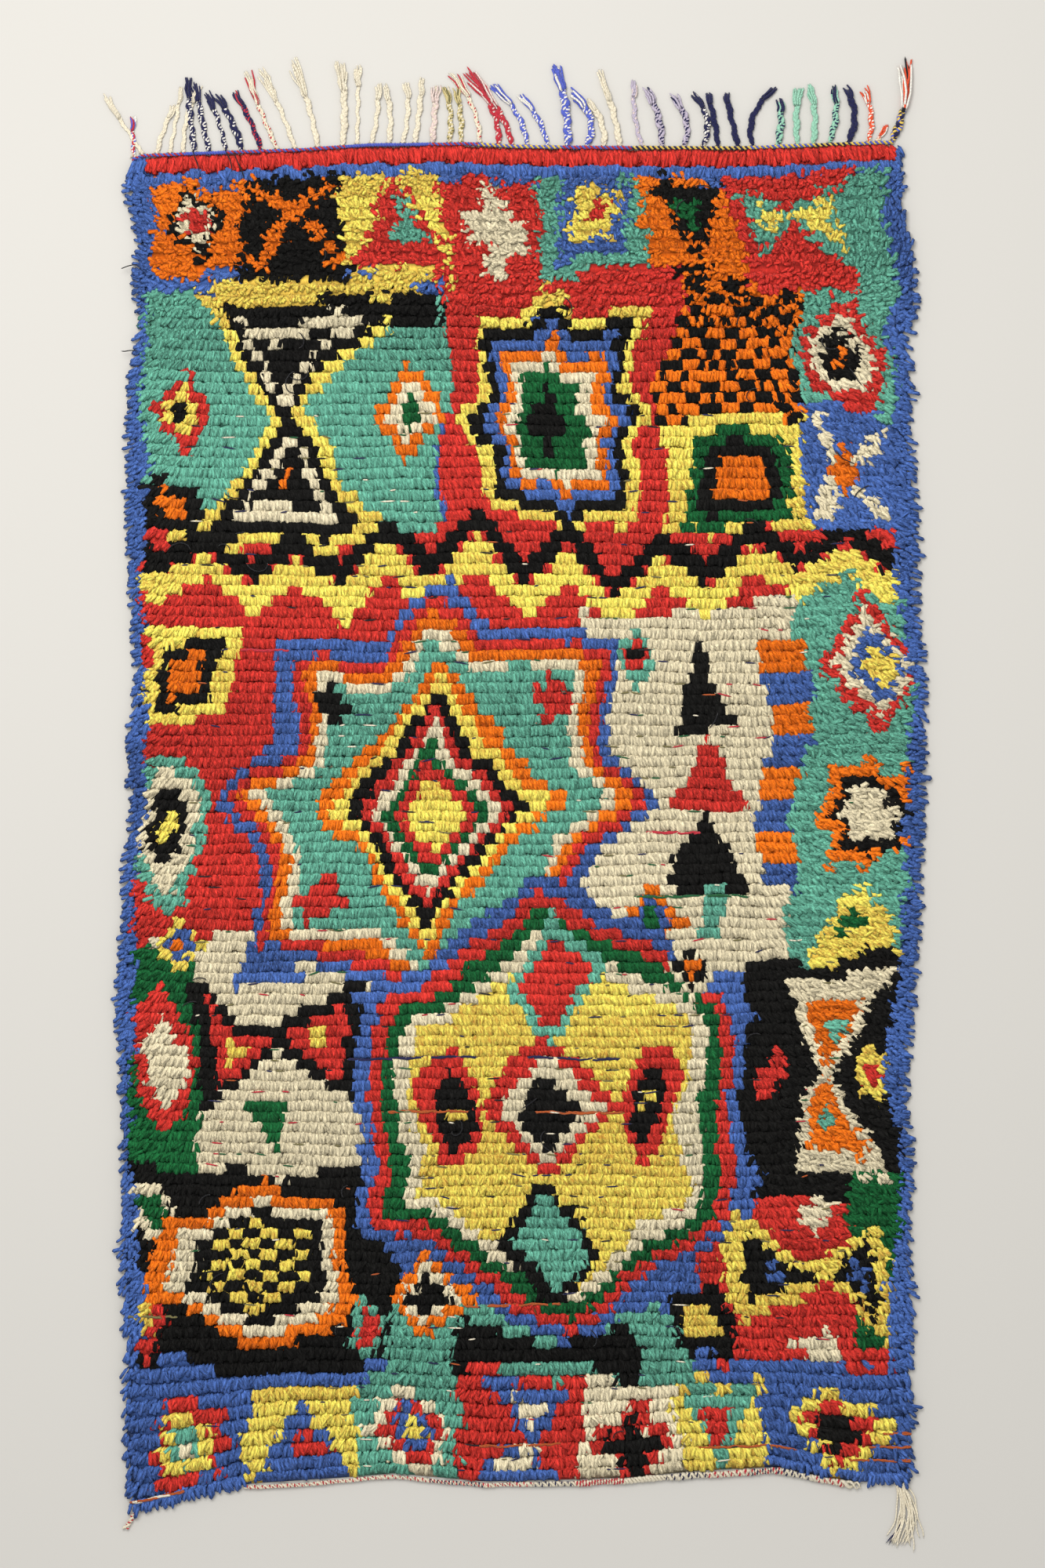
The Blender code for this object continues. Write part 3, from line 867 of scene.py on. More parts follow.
def ground_points():
    """Upper and lower grid points, (line, column, 3), where the rim is, and their straight y.

    Lines of points alternate between the valley and the crest of each row. Height = bed + rise or - drop
    as far as the pile lies towards the bottom edge there, and it falls to the rim over the last knots.
    """
    lines = np.stack([row_y - VALLEY_AT, row_y - CREST_AT], 1).ravel()
    lines[-1] = BOTTOM + GROUND_RIM
    lines = np.concatenate([[TOP - GROUND_RIM], lines])
    grid_across, grid_straight = np.meshgrid(np.linspace(-1, 1, STRIPS + 1), lines)
    x, y = lay_between_edges(grid_across, grid_straight)
    line, column = np.meshgrid(np.arange(LINES), np.arange(STRIPS + 1), indexing="ij")
    angle, lying, outwards = lay_at(x, grid_straight)
    rolled = np.clip(-np.sin(angle), 0, 1) * lying * (1 - outwards)
    bed = BED_HEIGHT + rolled * np.where(line % 2 == 0, CREST_RISE, -VALLEY_DROP)
    from_sides, from_ends = np.minimum(column, STRIPS - column), np.minimum(line, LINES - 1 - line)
    inside = ease(0, 1.4, from_sides) * ease(0, 1.6, from_ends)
    rim = (from_sides == 0) | (from_ends == 0)
    upper = np.where(rim, GROUND_THICKNESS / 2, GROUND_THICKNESS + (bed - GROUND_THICKNESS) * inside)
    lower = np.where(rim, GROUND_THICKNESS / 2, 0.0)
    return np.stack([x, y, upper], -1), np.stack([x, y, lower], -1), rim, grid_straight


def covering_knots(x, straight_y):
    """Row and column of the knot whose yarn ends lie over each cell: back along the lay by COVER_REACH."""
    angle, lying, outwards = lay_at(x, straight_y)
    back = COVER_REACH * lying
    row = cell_row[:, None] + np.rint((COVER_START + back * np.sin(angle)) / ROW_STEP).astype(int)
    column = 2 * np.arange(STRIPS) - np.rint(back * np.cos(angle) / KNOT_STEP).astype(int)
    return np.clip(row, 0, ROWS - 1), np.clip(column, 0, KNOTS - 1)


def ground_mesh():
    """One closed mesh: the upper grid, then the lower grid without its rim, which both share."""
    upper, lower, rim, straight = ground_points()
    rim = rim.ravel()
    across = STRIPS + 1
    first = (np.arange(LINES - 1)[:, None] * across + np.arange(STRIPS)).ravel()
    square = np.stack([first, first + across, first + across + 1, first + 1], 1)
    below = np.where(rim, np.arange(rim.size), rim.size + np.cumsum(~rim) - 1)
    points = np.concatenate([upper.reshape(-1, 3), lower.reshape(-1, 3)[~rim]])
    faces = np.concatenate([square, below[square[:, ::-1]]])
    mesh = bpy.data.meshes.new("woven_ground")
    mesh.from_pydata(points.tolist(), [], faces.tolist())
    mesh.update()
    mesh.shade_smooth()
    corners = np.concatenate([square, square[:, ::-1]]).ravel()
    flat = upper.reshape(-1, 3)[corners, :2]
    half_map = np.repeat((0.0, 0.5), square.size)
    window = (flat + MAP_CORNER) / MAP_SPAN
    add_map(mesh, "OFBake", np.stack([half_map + window[:, 0], window[:, 1]], -1))
    add_map(mesh, "weave", np.stack([2 * (corners % across), (corners // across - 1) / 2], -1))
    middle_x = (upper[:-1, :-1, 0] + upper[1:, 1:, 0]) / 2
    middle_y = (straight[:-1, :-1] + straight[1:, 1:]) / 2
    return mesh, covering_knots(middle_x, middle_y)


def ground_dyes_with_painted_shade(covering):
    """Linear colour of every corner: the covering knot's on top with painted shade, darkest in the dips, and
    its own below.
    """
    dyes = np.zeros((BORDER + 1, 3))
    for name, colour, spread, sheen in PILE:
        dyes[NUMBER[name]] = linear(*colour)
    line = np.arange(LINES - 1)[:, None] + np.array((0, 1, 1, 0))
    # Painted shade: the bed under the yarn ends is darkened a little on the crests and much more in the dips
    shade = np.where(line % 2 == 0, CREST_PAINTED_SHADE, VALLEY_PAINTED_SHADE)[:, None, :, None]
    above = dyes[knot_yarn[covering]][:, :, None] * shade
    below = np.repeat(dyes[knot_yarn[cell_row, ::2]][:, :, None], 4, axis=2)
    dye = np.concatenate([above.reshape(-1, 3), below.reshape(-1, 3)])
    return np.concatenate([dye, np.ones((len(dye), 1))], 1)


# %% [markdown]
# The upper side of the ground is seen only between yarn ends, so its dye with painted shade, darkest in the
# dips, and a crinkle are enough. On the underside the weave's own map, in knots and rows, says what is knot
# and what is weft, and its colour is painted darker as shade where its relief is low.

# %% Ground materials
BED_STRETCH = (1.6, 0.3, 1.0)
WEFT_STRETCH = (0.012, 0.16, 0.0)
WEFT_SHOTS = 9
WEFT_BROWN = (120, 84, 58)
WEFT_BUFF = (196, 178, 146)


def bed_wool():
    """The dyes of the knots with their painted shade from the dye attribute, and a crinkled tone and bump."""
    material, tree, shader = wool_shader("knot heads", 0.05)
    crinkle = crinkle_noise(tree, BED_STRETCH)
    shaded = shade_by(tree, read(tree, "dye", "Color"), remap(tree, crinkle, 0.3, 0.7, 0.72, 1.2))
    finish_wool(tree, shader, shaded, crinkle)
    return material


def back_wool():
    """Knot backs: two small heads for each knot, and a few shots of weft between the rows.

    With weave place (u, v) in knots and rows, a head's height is |sin(2 pi u)| |sin(pi v)|, and weft shows
    where |sin(pi v)| is small, in lines of height |sin(WEFT_SHOTS pi v)|. Its shade changes slowly. The colour
    is painted darker where the relief is low, as shade between the heads and in the weft.
    """
    material, tree, shader = wool_shader("knot backs", 0.05)
    place = split(tree, add_node(tree, "UVMap", {}, uv_map="weave")["UV"])
    waves = []
    for key, turns in (("X", 2 * math.pi), ("Y", math.pi), ("Y", WEFT_SHOTS * math.pi)):
        wave = calculate(tree, "SINE", calculate(tree, "MULTIPLY", place[key], turns))
        waves.append(calculate(tree, "ABSOLUTE", wave))
    head = calculate(tree, "MULTIPLY", waves[0], waves[1])
    shot = calculate(tree, "MULTIPLY", waves[2], calculate(tree, "SUBTRACT", 1.0, waves[0]))
    shows = remap(tree, waves[1], 0.50, 0.66, 1, 0)
    relief = mix(tree, "FLOAT", shows, head, calculate(tree, "MULTIPLY", shot, 0.6))
    height = calculate(tree, "ADD", relief, calculate(tree, "MULTIPLY", crinkle_noise(tree), 0.6))
    share = remap(tree, crinkle_noise(tree, WEFT_STRETCH), 0.4, 0.6, 0, 1)
    weft = mix(tree, "RGBA", share, (*linear(*WEFT_BROWN), 1), (*linear(*WEFT_BUFF), 1))
    mixed = mix(tree, "RGBA", shows, read(tree, "dye", "Color"), weft)
    # Painted shade: the colour is darker where the relief is low, between the heads and in the weft
    shaded = shade_by(tree, mixed, remap(tree, height, 0.1, 1.1, 0.42, 1.0))
    finish_wool(tree, shader, shaded, height)
    return material


def make_ground():
    mesh, covering = ground_mesh()
    # On the upper side the dye attribute holds the knots' dyes with painted shade, on the underside their own
    # dyes
    layer = mesh.color_attributes.new("dye", "FLOAT_COLOR", "CORNER")
    layer.data.foreach_set("color", ground_dyes_with_painted_shade(covering).astype(np.float32).ravel())
    for material in (bed_wool(), back_wool()):
        mesh.materials.append(material)
    half = len(mesh.polygons) // 2
    mesh.polygons.foreach_set("material_index", np.repeat((0, 1), half).astype(np.int32))
    mesh.update()
    return ride_as(place_object("woven_ground", mesh), "pile", "rug_body")


ground = make_ground()
print("ground", 2 * len(ground.data.polygons), "triangles")

# %% [markdown]
# ## Plaited warp ends
# Past the last row of knots the warps run on. A maker takes a bunch of them at a time, plaits it with three
# strands and leaves its end to fray. A strand of a plait swings from side to side once while it goes up and
# down twice, and the three are a third of a turn apart. The table repeats the part's own loose ends.

# %% Fringe tables
# Columns, in millimetres: root x, lean to the right, reach, bow to the right, thickness
FRINGE = (
    (-554, -2, 61, 0, 5), (-540, -57, 88, 0, 5), (-522, 27, 72, -3, 6), (-503, 18, 98, 0, 5),
    (-483, 23, 98, -7, 6), (-466, -10, 109, -2, 8), (-445, -20, 102, -2, 8), (-421, -28, 85, 3, 6),
    (-398, -37, 82, 4, 9), (-371, -40, 87, 4, 7), (-347, -45, 118, -3, 6), (-322, -50, 117, 3, 6),
    (-290, -37, 124, 5, 7), (-255, -4, 122, 5, 9), (-234, 1, 115, 1, 5), (-214, 10, 88, 4, 6),
    (-189, -6, 86, 6, 7), (-169, 6, 90, 5, 6), (-151, 11, 95, 1, 7), (-126, 5, 84, 1, 8),
    (-102, -5, 82, 5, 7), (-85, -8, 81, 4, 7), (-58, -39, 102, 11, 6), (-31, -45, 107, 14, 8),
    (-11, -60, 100, 11, 8), (10, -49, 89, 12, 7), (40, -39, 75, 7, 7), (69, -17, 118, 5, 11),
    (94, -22, 83, 18, 9), (120, -23, 69, 9, 8), (144, -30, 110, 4, 8), (177, -12, 96, -6, 6),
    (204, -22, 87, 6, 9), (234, -18, 77, 14, 8), (261, -12, 79, 14, 8), (285, -16, 79, 2, 8),
    (314, -19, 79, 0, 8), (336, 31, 87, -17, 8), (369, 4, 69, 4, 9), (399, 2, 87, -3, 8),
    (420, -5, 87, 6, 8), (443, 7, 85, 7, 8), (470, -3, 82, 12, 9), (500, -7, 79, 8, 7),
    (512, 15, 27, 0, 5), (533, 16, 116, 11, 10),
)
# Which yarns each plait has, from the left. Columns: how many plaits, yarns, how much of the length is frayed
FRINGE_YARNS = (
    (1, "tricolour", 0.30), (1, "cream", 0.36), (3, "cream", 0.22), (3, "navy white", 0.24),
    (1, "navy fleck", 0.2), (1, "navy red", 0.2), (1, "cream red", 0.42), (2, "cream", 0.38),
    (1, "cream", 0.32), (5, "cream", 0.22), (1, "pinkish", 0.25), (2, "mottled", 0.25), (1, "cream red", 0.3),
    (2, "red", 0.42), (4, "blue white", 0.28), (1, "cream", 0.2), (1, "cream", 0.36), (1, "lilac", 0.2),
    (2, "lilac navy", 0.24), (1, "navy white", 0.24), (3, "navy", 0.16), (1, "mint navy", 0.24),
    (2, "mint", 0.3), (1, "mint navy", 0.26), (1, "navy", 0.16), (1, "orange white", 0.24),
    (1, "orange", 0.6), (1, "corner", 0.58),
)
DYES = {
    "cream": (232, 222, 198), "white": (238, 234, 224), "navy": (30, 32, 74), "red": (190, 46, 60),
    "blue": (84, 98, 196), "green": (30, 92, 52), "rust": (176, 84, 36), "pink": (226, 206, 198),
    "straw": (204, 188, 132), "lilac": (190, 180, 198), "mint": (152, 206, 180), "orange": (230, 84, 46),
    "black": (24, 24, 28), "olive": (120, 112, 70), "yellow": (232, 200, 90),
}
# The three strands of each kind of plait. A strand of two plies names both
STRANDS = {
    "cream": "cream cream cream", "tricolour": "red white/blue red/white",
    "navy white": "navy/white navy white/navy", "navy fleck": "navy navy/white navy",
    "navy red": "navy/red red/navy navy", "cream red": "cream cream/red cream",
    "pinkish": "pink pink pink/cream", "mottled": "straw/olive cream/straw straw/cream",
    "red": "red red/pink red", "blue white": "blue/white blue white/blue", "lilac": "lilac lilac/pink lilac",
    "lilac navy": "lilac/navy lilac lilac/navy", "navy": "navy navy navy", "mint": "mint mint mint",
    "mint navy": "mint/navy mint mint/navy", "orange white": "orange/white orange white/orange",
    "orange": "orange orange/white orange", "corner": "blue/yellow navy yellow/navy",
}
# The yarns of its frayed end, where they are others
FRAYED = {
    "corner": "orange orange/white white/black", "navy white": "navy navy navy/white",
    "navy fleck": "navy navy navy", "mint navy": "navy mint navy",
}


def dyes_of(names, ply=0):
    """Linear colours of yarns. Of two plies, as in red/cream, ply 0 is the first and -1 the last."""
    return np.array([linear(*DYES[name.split("/")[ply]]) for name in names])


plait_rows = np.array(FRINGE, float)
plait_kinds = [kind for count, kind, frayed in FRINGE_YARNS for _ in range(count)]
plait_frayed = np.array([frayed for count, kind, frayed in FRINGE_YARNS for _ in range(count)])
print(len(plait_kinds), "plaits, the longest", max(row[2] for row in FRINGE), "mm")

# %% [markdown]
# A strand is two-ply, so its two colours wind round it like the stripes of a barber's pole. The material
# turns the fibre place by an angle that grows along the yarn. Its second number then says which ply a spot
# is in.

# %% Material of plied yarn
PLY_TWIST = 1400.0
PLY_EDGE = 0.0001
PLY_FLECK = 0.0005


def plied_wool(name):
    """Two plies from the piece's own colours, split where the turned fibre's y + noise crosses zero.

    The fibre place is turned about the yarn by the twist, in radians a metre, times the length so far.
    """
    material, tree, shader = wool_shader(name, 0.2)
    straight = read(tree, "fibre")
    turn = calculate(tree, "MULTIPLY", split(tree, straight)["Z"], PLY_TWIST)
    turned = {"Vector": straight, "Angle": turn}
    place = add_node(tree, "VectorRotate", turned, rotation_type="Z_AXIS")["Vector"]
    fuzz = noise(tree, place, FIBRE_STRETCH, 1.0, FIBRES)
    stray = remap(tree, fuzz, 0.3, 0.7, -PLY_FLECK, PLY_FLECK)
    rough_edge = calculate(tree, "ADD", split(tree, place)["Y"], stray)
    ply = remap(tree, rough_edge, -PLY_EDGE, PLY_EDGE, 0, 1)
    mixed = mix(tree, "RGBA", ply, read(tree, "first"), read(tree, "second"))
    shaded = shade_by(tree, mixed, remap(tree, fuzz, 0.28, 0.72, 0.62, 1.12))
    finish_wool(tree, shader, shaded, fuzz)
    return material


def plied_piece(name, lines, side, radius, sides, tall, first, second, slot, *nodes, flat=1.0):
    """A piece of plied yarns with the given half widths, and flat times as high as wide."""
    radius[:, [0, -1]] = 0
    surface = yarn_surface(lines, side, radius, radius * flat, sides)
    piece = yarn_piece(name, surface, sides, tall, {"first": first, "second": second}, plied)
    ride_as(piece, slot, *nodes)


plied = plied_wool("plaited warp")

# %% Make the plaits
PLAIT_SIDES = 5
PLAIT_STATIONS = 30
PLAIT_TURN = 0.021
PLAIT_SWING = 0.31
PLAIT_RISE = 0.14
STRAND_RADIUS = 0.30
STRAND_FLAT = 0.92
FULL_FROM = 0.012
PLAIT_SWAY = 0.0011
UNDER = 0.0025


def middle_line(rows, start, direction, share, sway=0.0):
    """Points in the plane at each share s: root + s (lean, reach) + 4 s (1 - s) (bow, 0), and a sway in x."""
    root, lean, reach, bow = (rows[:, index:index + 1] * MM for index in range(4))
    x = root + share * lean + 4 * share * (1 - share) * bow
    x = x + sway * np.sin(share * reach * 260 + rows[:, :1] * 1.7) * ease(0, 0.25, share)
    return np.stack([x, start[:, None] + direction * share * reach], -1)


def square_to(flat):
    """Unit vectors in the plane, square to lines of points there."""
    tangent = unit(np.gradient(flat, axis=1))
    return np.stack([-tangent[..., 1], tangent[..., 0]], -1)


def with_height(flat, height):
    return np.concatenate([flat, height[..., None]], -1)


def plait_lines(rows, start):
    """Middle lines of three strands for each plait, their side vectors and radii.

    With phase p = 2 pi length / turn + a third of a turn for each strand, a strand stands off the plait's
    middle line by swing sin(p) sideways and rise sin(2 p) upwards, both as shares of the thickness.
    """
    share = np.linspace(0, 1, PLAIT_STATIONS)[None] * (1 - plait_frayed[:, None])
    flat = middle_line(rows, start, 1, share, PLAIT_SWAY)
    along = share * (rows[:, 2:3] * MM)
    full = 0.42 + 0.58 * ease(0, FULL_FROM, along)
    full = full * (1 + 0.10 * np.sin(along * 140 + rows[:, :1]))
    thick = (rows[:, 4:5] * MM * full)[:, None]
    third = np.arange(3)[None, :, None] / 3
    turns = along[:, None] / PLAIT_TURN * (7 / rows[:, None, 4:5]) ** 0.5 + third
    phase = 2 * np.pi * turns + rows[:, None, :1]
    across = square_to(flat)[:, None]
    place = flat[:, None] + across * (PLAIT_SWING * thick * np.sin(phase))[..., None]
    rise = PLAIT_RISE * thick * np.sin(2 * phase)
    height = (PLAIT_RISE + STRAND_RADIUS) * thick + rise + 0.0012 * (1 - ease(0, 0.006, along))[:, None]
    strands = (-1, PLAIT_STATIONS)
    lines = with_height(place, height).reshape(*strands, 3)
    side = with_height(across + 0 * place, 0 * rise).reshape(*strands, 3)
    return lines, side, (STRAND_RADIUS * thick + 0 * phase).reshape(strands)


def make_plaits():
    lines, side, radius = plait_lines(plait_rows, plait_start)
    radius = radius * np.minimum(1, np.arange(PLAIT_STATIONS)[::-1] / 2)
    names = [name for kind in plait_kinds for name in STRANDS[kind].split()]
    plied_piece("fringe_plaits", lines, side, radius, PLAIT_SIDES, 8.0, dyes_of(names), dyes_of(names, -1),
                "plait", "fringe", flat=STRAND_FLAT)


plait_start = top_line(plait_rows[:, 0] * MM) + UNDER
make_plaits()

# %% [markdown]
# Past the plait its yarns come apart and spread like a brush. Each end leaves in the plait's direction, fans
# out by a random angle, curves a little and comes to rest near the floor.

# %% Frayed ends
ENDS_PER_PLAIT = 14
FRAY_FAN = 0.11
FRAY_RADIUS = 0.19
TIP_STEPS = np.array((0.0, 0.16, 0.42, 0.70, 0.95, 1.0))
TIP_RADII = np.array((0.0, 1.0, 1.0, 1.0, 0.8, 0.0))


def make_frayed_ends(rows, start):
    """Loose ends that start within the plait and run on along its line, each with its own offset.

    Offset = own place across the plait + fan (length) + curl (length squared), and the height falls off.
    """
    per = ENDS_PER_PLAIT
    count = len(rows) * per
    every = np.repeat(rows, per, axis=0)
    frayed = np.repeat(plait_frayed, per)[:, None]
    thick = every[:, 4:5] * MM
    own = np.tile(np.linspace(-1, 1, per), len(rows))[:, None] + rng.normal(0, 0.15, (count, 1))
    step = TIP_STEPS[None]
    stop = 1 + frayed * rng.uniform(-0.45, 0.12, (count, 1))
    begin = 1 - frayed - 0.05
    share = begin + (stop - begin) * step
    flat = middle_line(every, np.repeat(start, per), 1, share, PLAIT_SWAY)
    across = square_to(flat)
    length = (share - share[:, :1]) * (every[:, 2:3] * MM)
    brush = np.repeat(rng.uniform(0.2, 1.3, (len(rows), 1)), per, axis=0)
    fan = -own * FRAY_FAN * brush + rng.normal(0, 0.035, (count, 1))
    curl = rng.normal(0, 1.0, (count, 1)) * length ** 2
    offset = -own * 0.34 * thick + fan * length + curl + 0.0005 * np.sin(length * 300 + own * 9)
    radius = FRAY_RADIUS * np.maximum(thick, 0.007) * TIP_RADII
    falling = thick * (0.42 + 0.30 * np.sin(own * 7)) * (1 - 0.5 * step)
    lines = with_height(flat + across * offset[..., None], np.maximum(falling, 1.15 * radius) + 0.0003)
    kinds = [FRAYED.get(kind, STRANDS[kind]).split() for kind in plait_kinds]
    ends = [kind[number % 3] for kind in kinds for number in range(per)]
    dye = dyes_of([name.split("/")[number % 2 if "/" in name else 0] for number, name in enumerate(ends)])
    plied_piece("fringe_tips", lines, with_height(across, 0 * falling), radius, 3, 4.0, dye, dye, "plait")


make_frayed_ends(plait_rows, plait_start)

# %% [markdown]
# Between the heading and the plaits the warps draw together: a few thin ones fan into each plait's root. The
# last end at the right is tied with a dark knot, above which its yarns hang loose.

# %% Warp fans and the tied end
FAN_YARNS = 6
FAN_REACH = 0.014
FAN_SPREAD = 0.0062
WARP_RADIUS = 0.0009
TIED_AT = 0.40
TIED_HEIGHT = 0.0046
TIED_RADII = (0.0, 2.9, 4.2, 3.6, 4.3, 2.8, 0.0)


def along_x(height):
    """Side vectors (1, 0, 0) for lines that run up or down the rug."""
    return np.stack([np.ones(height.shape), 0 * height, 0 * height], -1)


def make_warp_fans(rows, start):
    """Lines from places along the cord to the middle of each plait a little way up."""
    every = np.repeat(rows, FAN_YARNS, axis=0)
    own = np.tile(np.linspace(-1, 1, FAN_YARNS), len(rows))[:, None]
    step = np.linspace(0, 1, 4)[None]
    flat = middle_line(every, np.repeat(start, FAN_YARNS), 1, FAN_REACH / (every[:, 2:3] * MM) * step)
    flat[..., 0] += FAN_SPREAD * own * (1 - step) ** 1.5
    height = 0.0016 + 0.0012 * step + 0.0004 * np.cos(own * 8)
    dye = dyes_of(["cream"] * len(every))
    radius = np.full(height.shape, WARP_RADIUS)
    plied_piece("warp_fans", with_height(flat, height), along_x(height), radius, 3, 3.0, dye, dye, "plait")


def make_tied_knot():
    """A dark lump of two crossing turns round the last plait."""
    radius = np.array([TIED_RADII]) * MM
    share = TIED_AT + np.linspace(-0.045, 0.045, radius.size)[None]
    flat = middle_line(plait_rows[-1:], plait_start[-1:], 1, share, PLAIT_SWAY)
    lines = with_height(flat, np.full(radius.shape, TIED_HEIGHT))
    dye = dyes_of(["black"])
    plied_piece("tied_knot", lines, along_x(radius), radius, 8, 2.0, dye, dye, "plait")


make_warp_fans(plait_rows, plait_start)
make_tied_knot()

# %% [markdown]
# ## Threads among the pile
# Here and there a row parts and weft of another colour shows, some of it in long lines and most of it in
# flecks. A few long dark ends lie loose on top, mostly by the black motifs.

# %% Tables of the threads
# Columns, in millimetres: y, from x, to x, yarn
WEFT_LINES = (
    (-340, -248, -60, "navy"), (-340, 10, 150, "navy"), (-418, -190, -70, "rust"), (-418, 20, 150, "rust"),
    (-940, -560, -480, "rust"), (-928, -556, -500, "cream"), (-922, 250, 400, "rust"),
    (-922, 470, 562, "rust"), (-900, 500, 562, "rust"), (-885, 520, 562, "rust"), (240, -400, -330, "red"),
    (-905, -60, 60, "rust"), (-120, 160, 330, "green"), (-30, 180, 260, "red"), (-700, -80, 60, "rust"),
    (-712, -562, -490, "olive"),
)
LINE_STATIONS = 40
# The seeds of the two threads that lie side by side in each line
LINE_SEEDS = (21, 31)
JUNCTION_AT = 0.0042
JUNCTION_HEIGHT = 0.0118
# Columns: the pile's yarn where they lie, how many flecks, their own yarns
FLECKS = (
    ("cream", 170, ("red", "green", "navy", "olive")), ("yellow", 130, ("navy", "olive", "black")),
    ("red", 60, ("black", "navy")), ("teal", 50, ("navy", "cream")), ("black", 26, ("rust", "cream")),
)
LOOSE_ENDS = 30
LOOSE_HEIGHT = 0.0132
LOOSE_ARCH = 0.0016
# Ends seen in the photograph. Columns, in millimetres: x, y, to x, to y
KNOWN_ENDS = (
    (-467, 952, -461, 920), (-421, 954, -413, 918), (-409, 949, -396, 909), (-548, 784, -572, 782),
    (-546, 660, -574, 664), (470, 640, 492, 610), (452, 520, 480, 498), (478, 452, 500, 470),
)

# %% Make the threads
def weft_line(y, left, right, seed):
    """A thread along the dip of the row nearest to y, rising and sinking by noise."""
    row = int(np.argmin(np.abs(row_y - y * MM)))
    x = np.linspace(left, right, LINE_STATIONS) * MM
    path = np.interp(x, knot_x[row], knot_y[row]) - JUNCTION_AT + 0.0016 * ripple(x * 420, 0 * x + y, seed)
    height = JUNCTION_HEIGHT - 0.0002 + 0.0020 * ripple(x * 300, 0 * x + y, seed + 1)
    return np.stack([x, path, height], -1)


def fleck_lines():
    """Short threads along the dip under knots picked by chance, and their colours."""
    picked, dyes = [], []
    allowed = (knot_y.ravel() < 0.60) & (np.abs(knot_x.ravel()) < 0.48)
    for name, count, yarns in FLECKS:
        places = np.flatnonzero((knot_yarn.ravel() == NUMBER[name]) & allowed)
        picked.append(rng.choice(places, count, replace=False))
        dyes.append(dyes_of(yarns)[rng.integers(0, len(yarns), count)])
    picked = np.concatenate(picked)
    one_each = (len(picked), 1)
    step = np.linspace(-0.5, 0.5, 5)[None]
    long = rng.uniform(7, 24, one_each) * MM
    x = knot_x.ravel()[picked][:, None] + long * step
    y = knot_y.ravel()[picked][:, None] - JUNCTION_AT + long * step * rng.normal(0, 0.12, one_each)
    height = JUNCTION_HEIGHT + rng.normal(0.0008, 0.0005, one_each) + 0 * step
    return np.stack([x, y, height], -1), np.concatenate(dyes)


def loose_end_lines():
    """Long curved ends over the pile: some from black knots picked by chance, and the known ones."""
    places = np.flatnonzero((knot_yarn.ravel() == NUMBER["black"]) & (np.abs(knot_x.ravel()) < 0.5))
    picked = rng.choice(places, LOOSE_ENDS, replace=False)
    one_each = (LOOSE_ENDS, 1)
    step = np.linspace(0, 1, 8)[None]
    length = rng.uniform(16, 34, one_each) * MM
    angle = rng.uniform(0, 2 * np.pi, one_each) + rng.normal(0, 1.6, one_each) * step
    x = knot_x.ravel()[picked][:, None] + length * step * np.cos(angle)
    y = knot_y.ravel()[picked][:, None] + length * step * np.sin(angle)
    from_x, from_y, to_x, to_y = (np.array(KNOWN_ENDS, float).T * MM)[..., None]
    known_x = from_x + (to_x - from_x) * step + 0.002 * np.sin(step * 5 + from_y * 90)
    known_y = from_y + (to_y - from_y) * step + 0.002 * np.sin(step * 4 + from_x * 90)
    x, y = np.concatenate([x, known_x]), np.concatenate([y, known_y])
    return np.stack([x, y, LOOSE_HEIGHT + LOOSE_ARCH * np.sin(np.pi * step) + 0 * x], -1)


def thread_piece(name, lines, radius, dye):
    side = with_height(square_to(lines[..., :2]), 0 * lines[..., 0])
    plied_piece(name, lines, side, np.full(lines.shape[:2], radius), 3, 6.0, dye, dye, "pile")


lines = np.stack([weft_line(*row[:3], seed) for seed in LINE_SEEDS for row in WEFT_LINES])
thread_piece("weft_lines", lines, 0.0017, dyes_of([row[3] for row in WEFT_LINES] * len(LINE_SEEDS)))
thread_lines, thread_dyes = fleck_lines()
thread_piece("weft_flecks", thread_lines, 0.0012, thread_dyes)
thread_piece("loose_ends", loose_end_lines(), 0.0009, dyes_of(["black"] * (LOOSE_ENDS + len(KNOWN_ENDS))))

# %% [markdown]
# ## Twined edges
# Both ends of the weaving are locked by twining: two yarns cross over each other between the warps. At the
# fringe end they change from blue to a mix with yellow and red, and at the other end they are cream with
# flecks. Each yarn winds round the cord's line, half a turn from the other.

# %% Twined cords
GAP = 0.0003
CORD_THICKNESS = 0.0035
TWINE_SIDES = 4
CORD_SWING = 0.46
CORD_RADIUS = 0.48
FINER_LEFT = 0.38
PART_LENGTH = 0.035
HEADING_LEFT = -0.557
HEADING_RIGHT = 0.537
CLOSING_DOWN = 0.0016
# Columns: from x, first yarn, second yarn, until the next row. A yarn of two plies names both
HEADING_YARNS = (
    (-0.560, "blue", "red"), (-0.480, "blue", "blue"), (-0.420, "red", "blue"), (-0.330, "blue", "red"),
    (-0.250, "blue", "blue"), (-0.130, "red", "blue"), (-0.060, "yellow", "blue"),
    (0.060, "red", "blue"), (0.160, "yellow", "navy"), (0.250, "yellow", "navy"), (0.330, "yellow", "blue"),
    (0.420, "yellow", "navy"), (0.480, "yellow", "blue"),
)
CLOSING_YARNS = (
    (-0.400, "cream", "red/cream"), (-0.340, "cream/red", "cream"), (-0.290, "red/cream", "cream"),
    (-0.200, "cream", "cream/red"), (-0.130, "cream/red", "cream/navy"), (-0.050, "cream", "red/cream"),
    (0.020, "cream", "cream/navy"), (0.080, "cream/red", "cream/red"), (0.150, "cream", "cream"),
    (0.210, "cream/navy", "cream"), (0.270, "cream", "red/cream"), (0.330, "cream/navy", "cream/red"),
    (0.380, "cream/navy", "cream"), (0.420, "cream", "cream/red"), (0.465, "cream", "cream"),
)


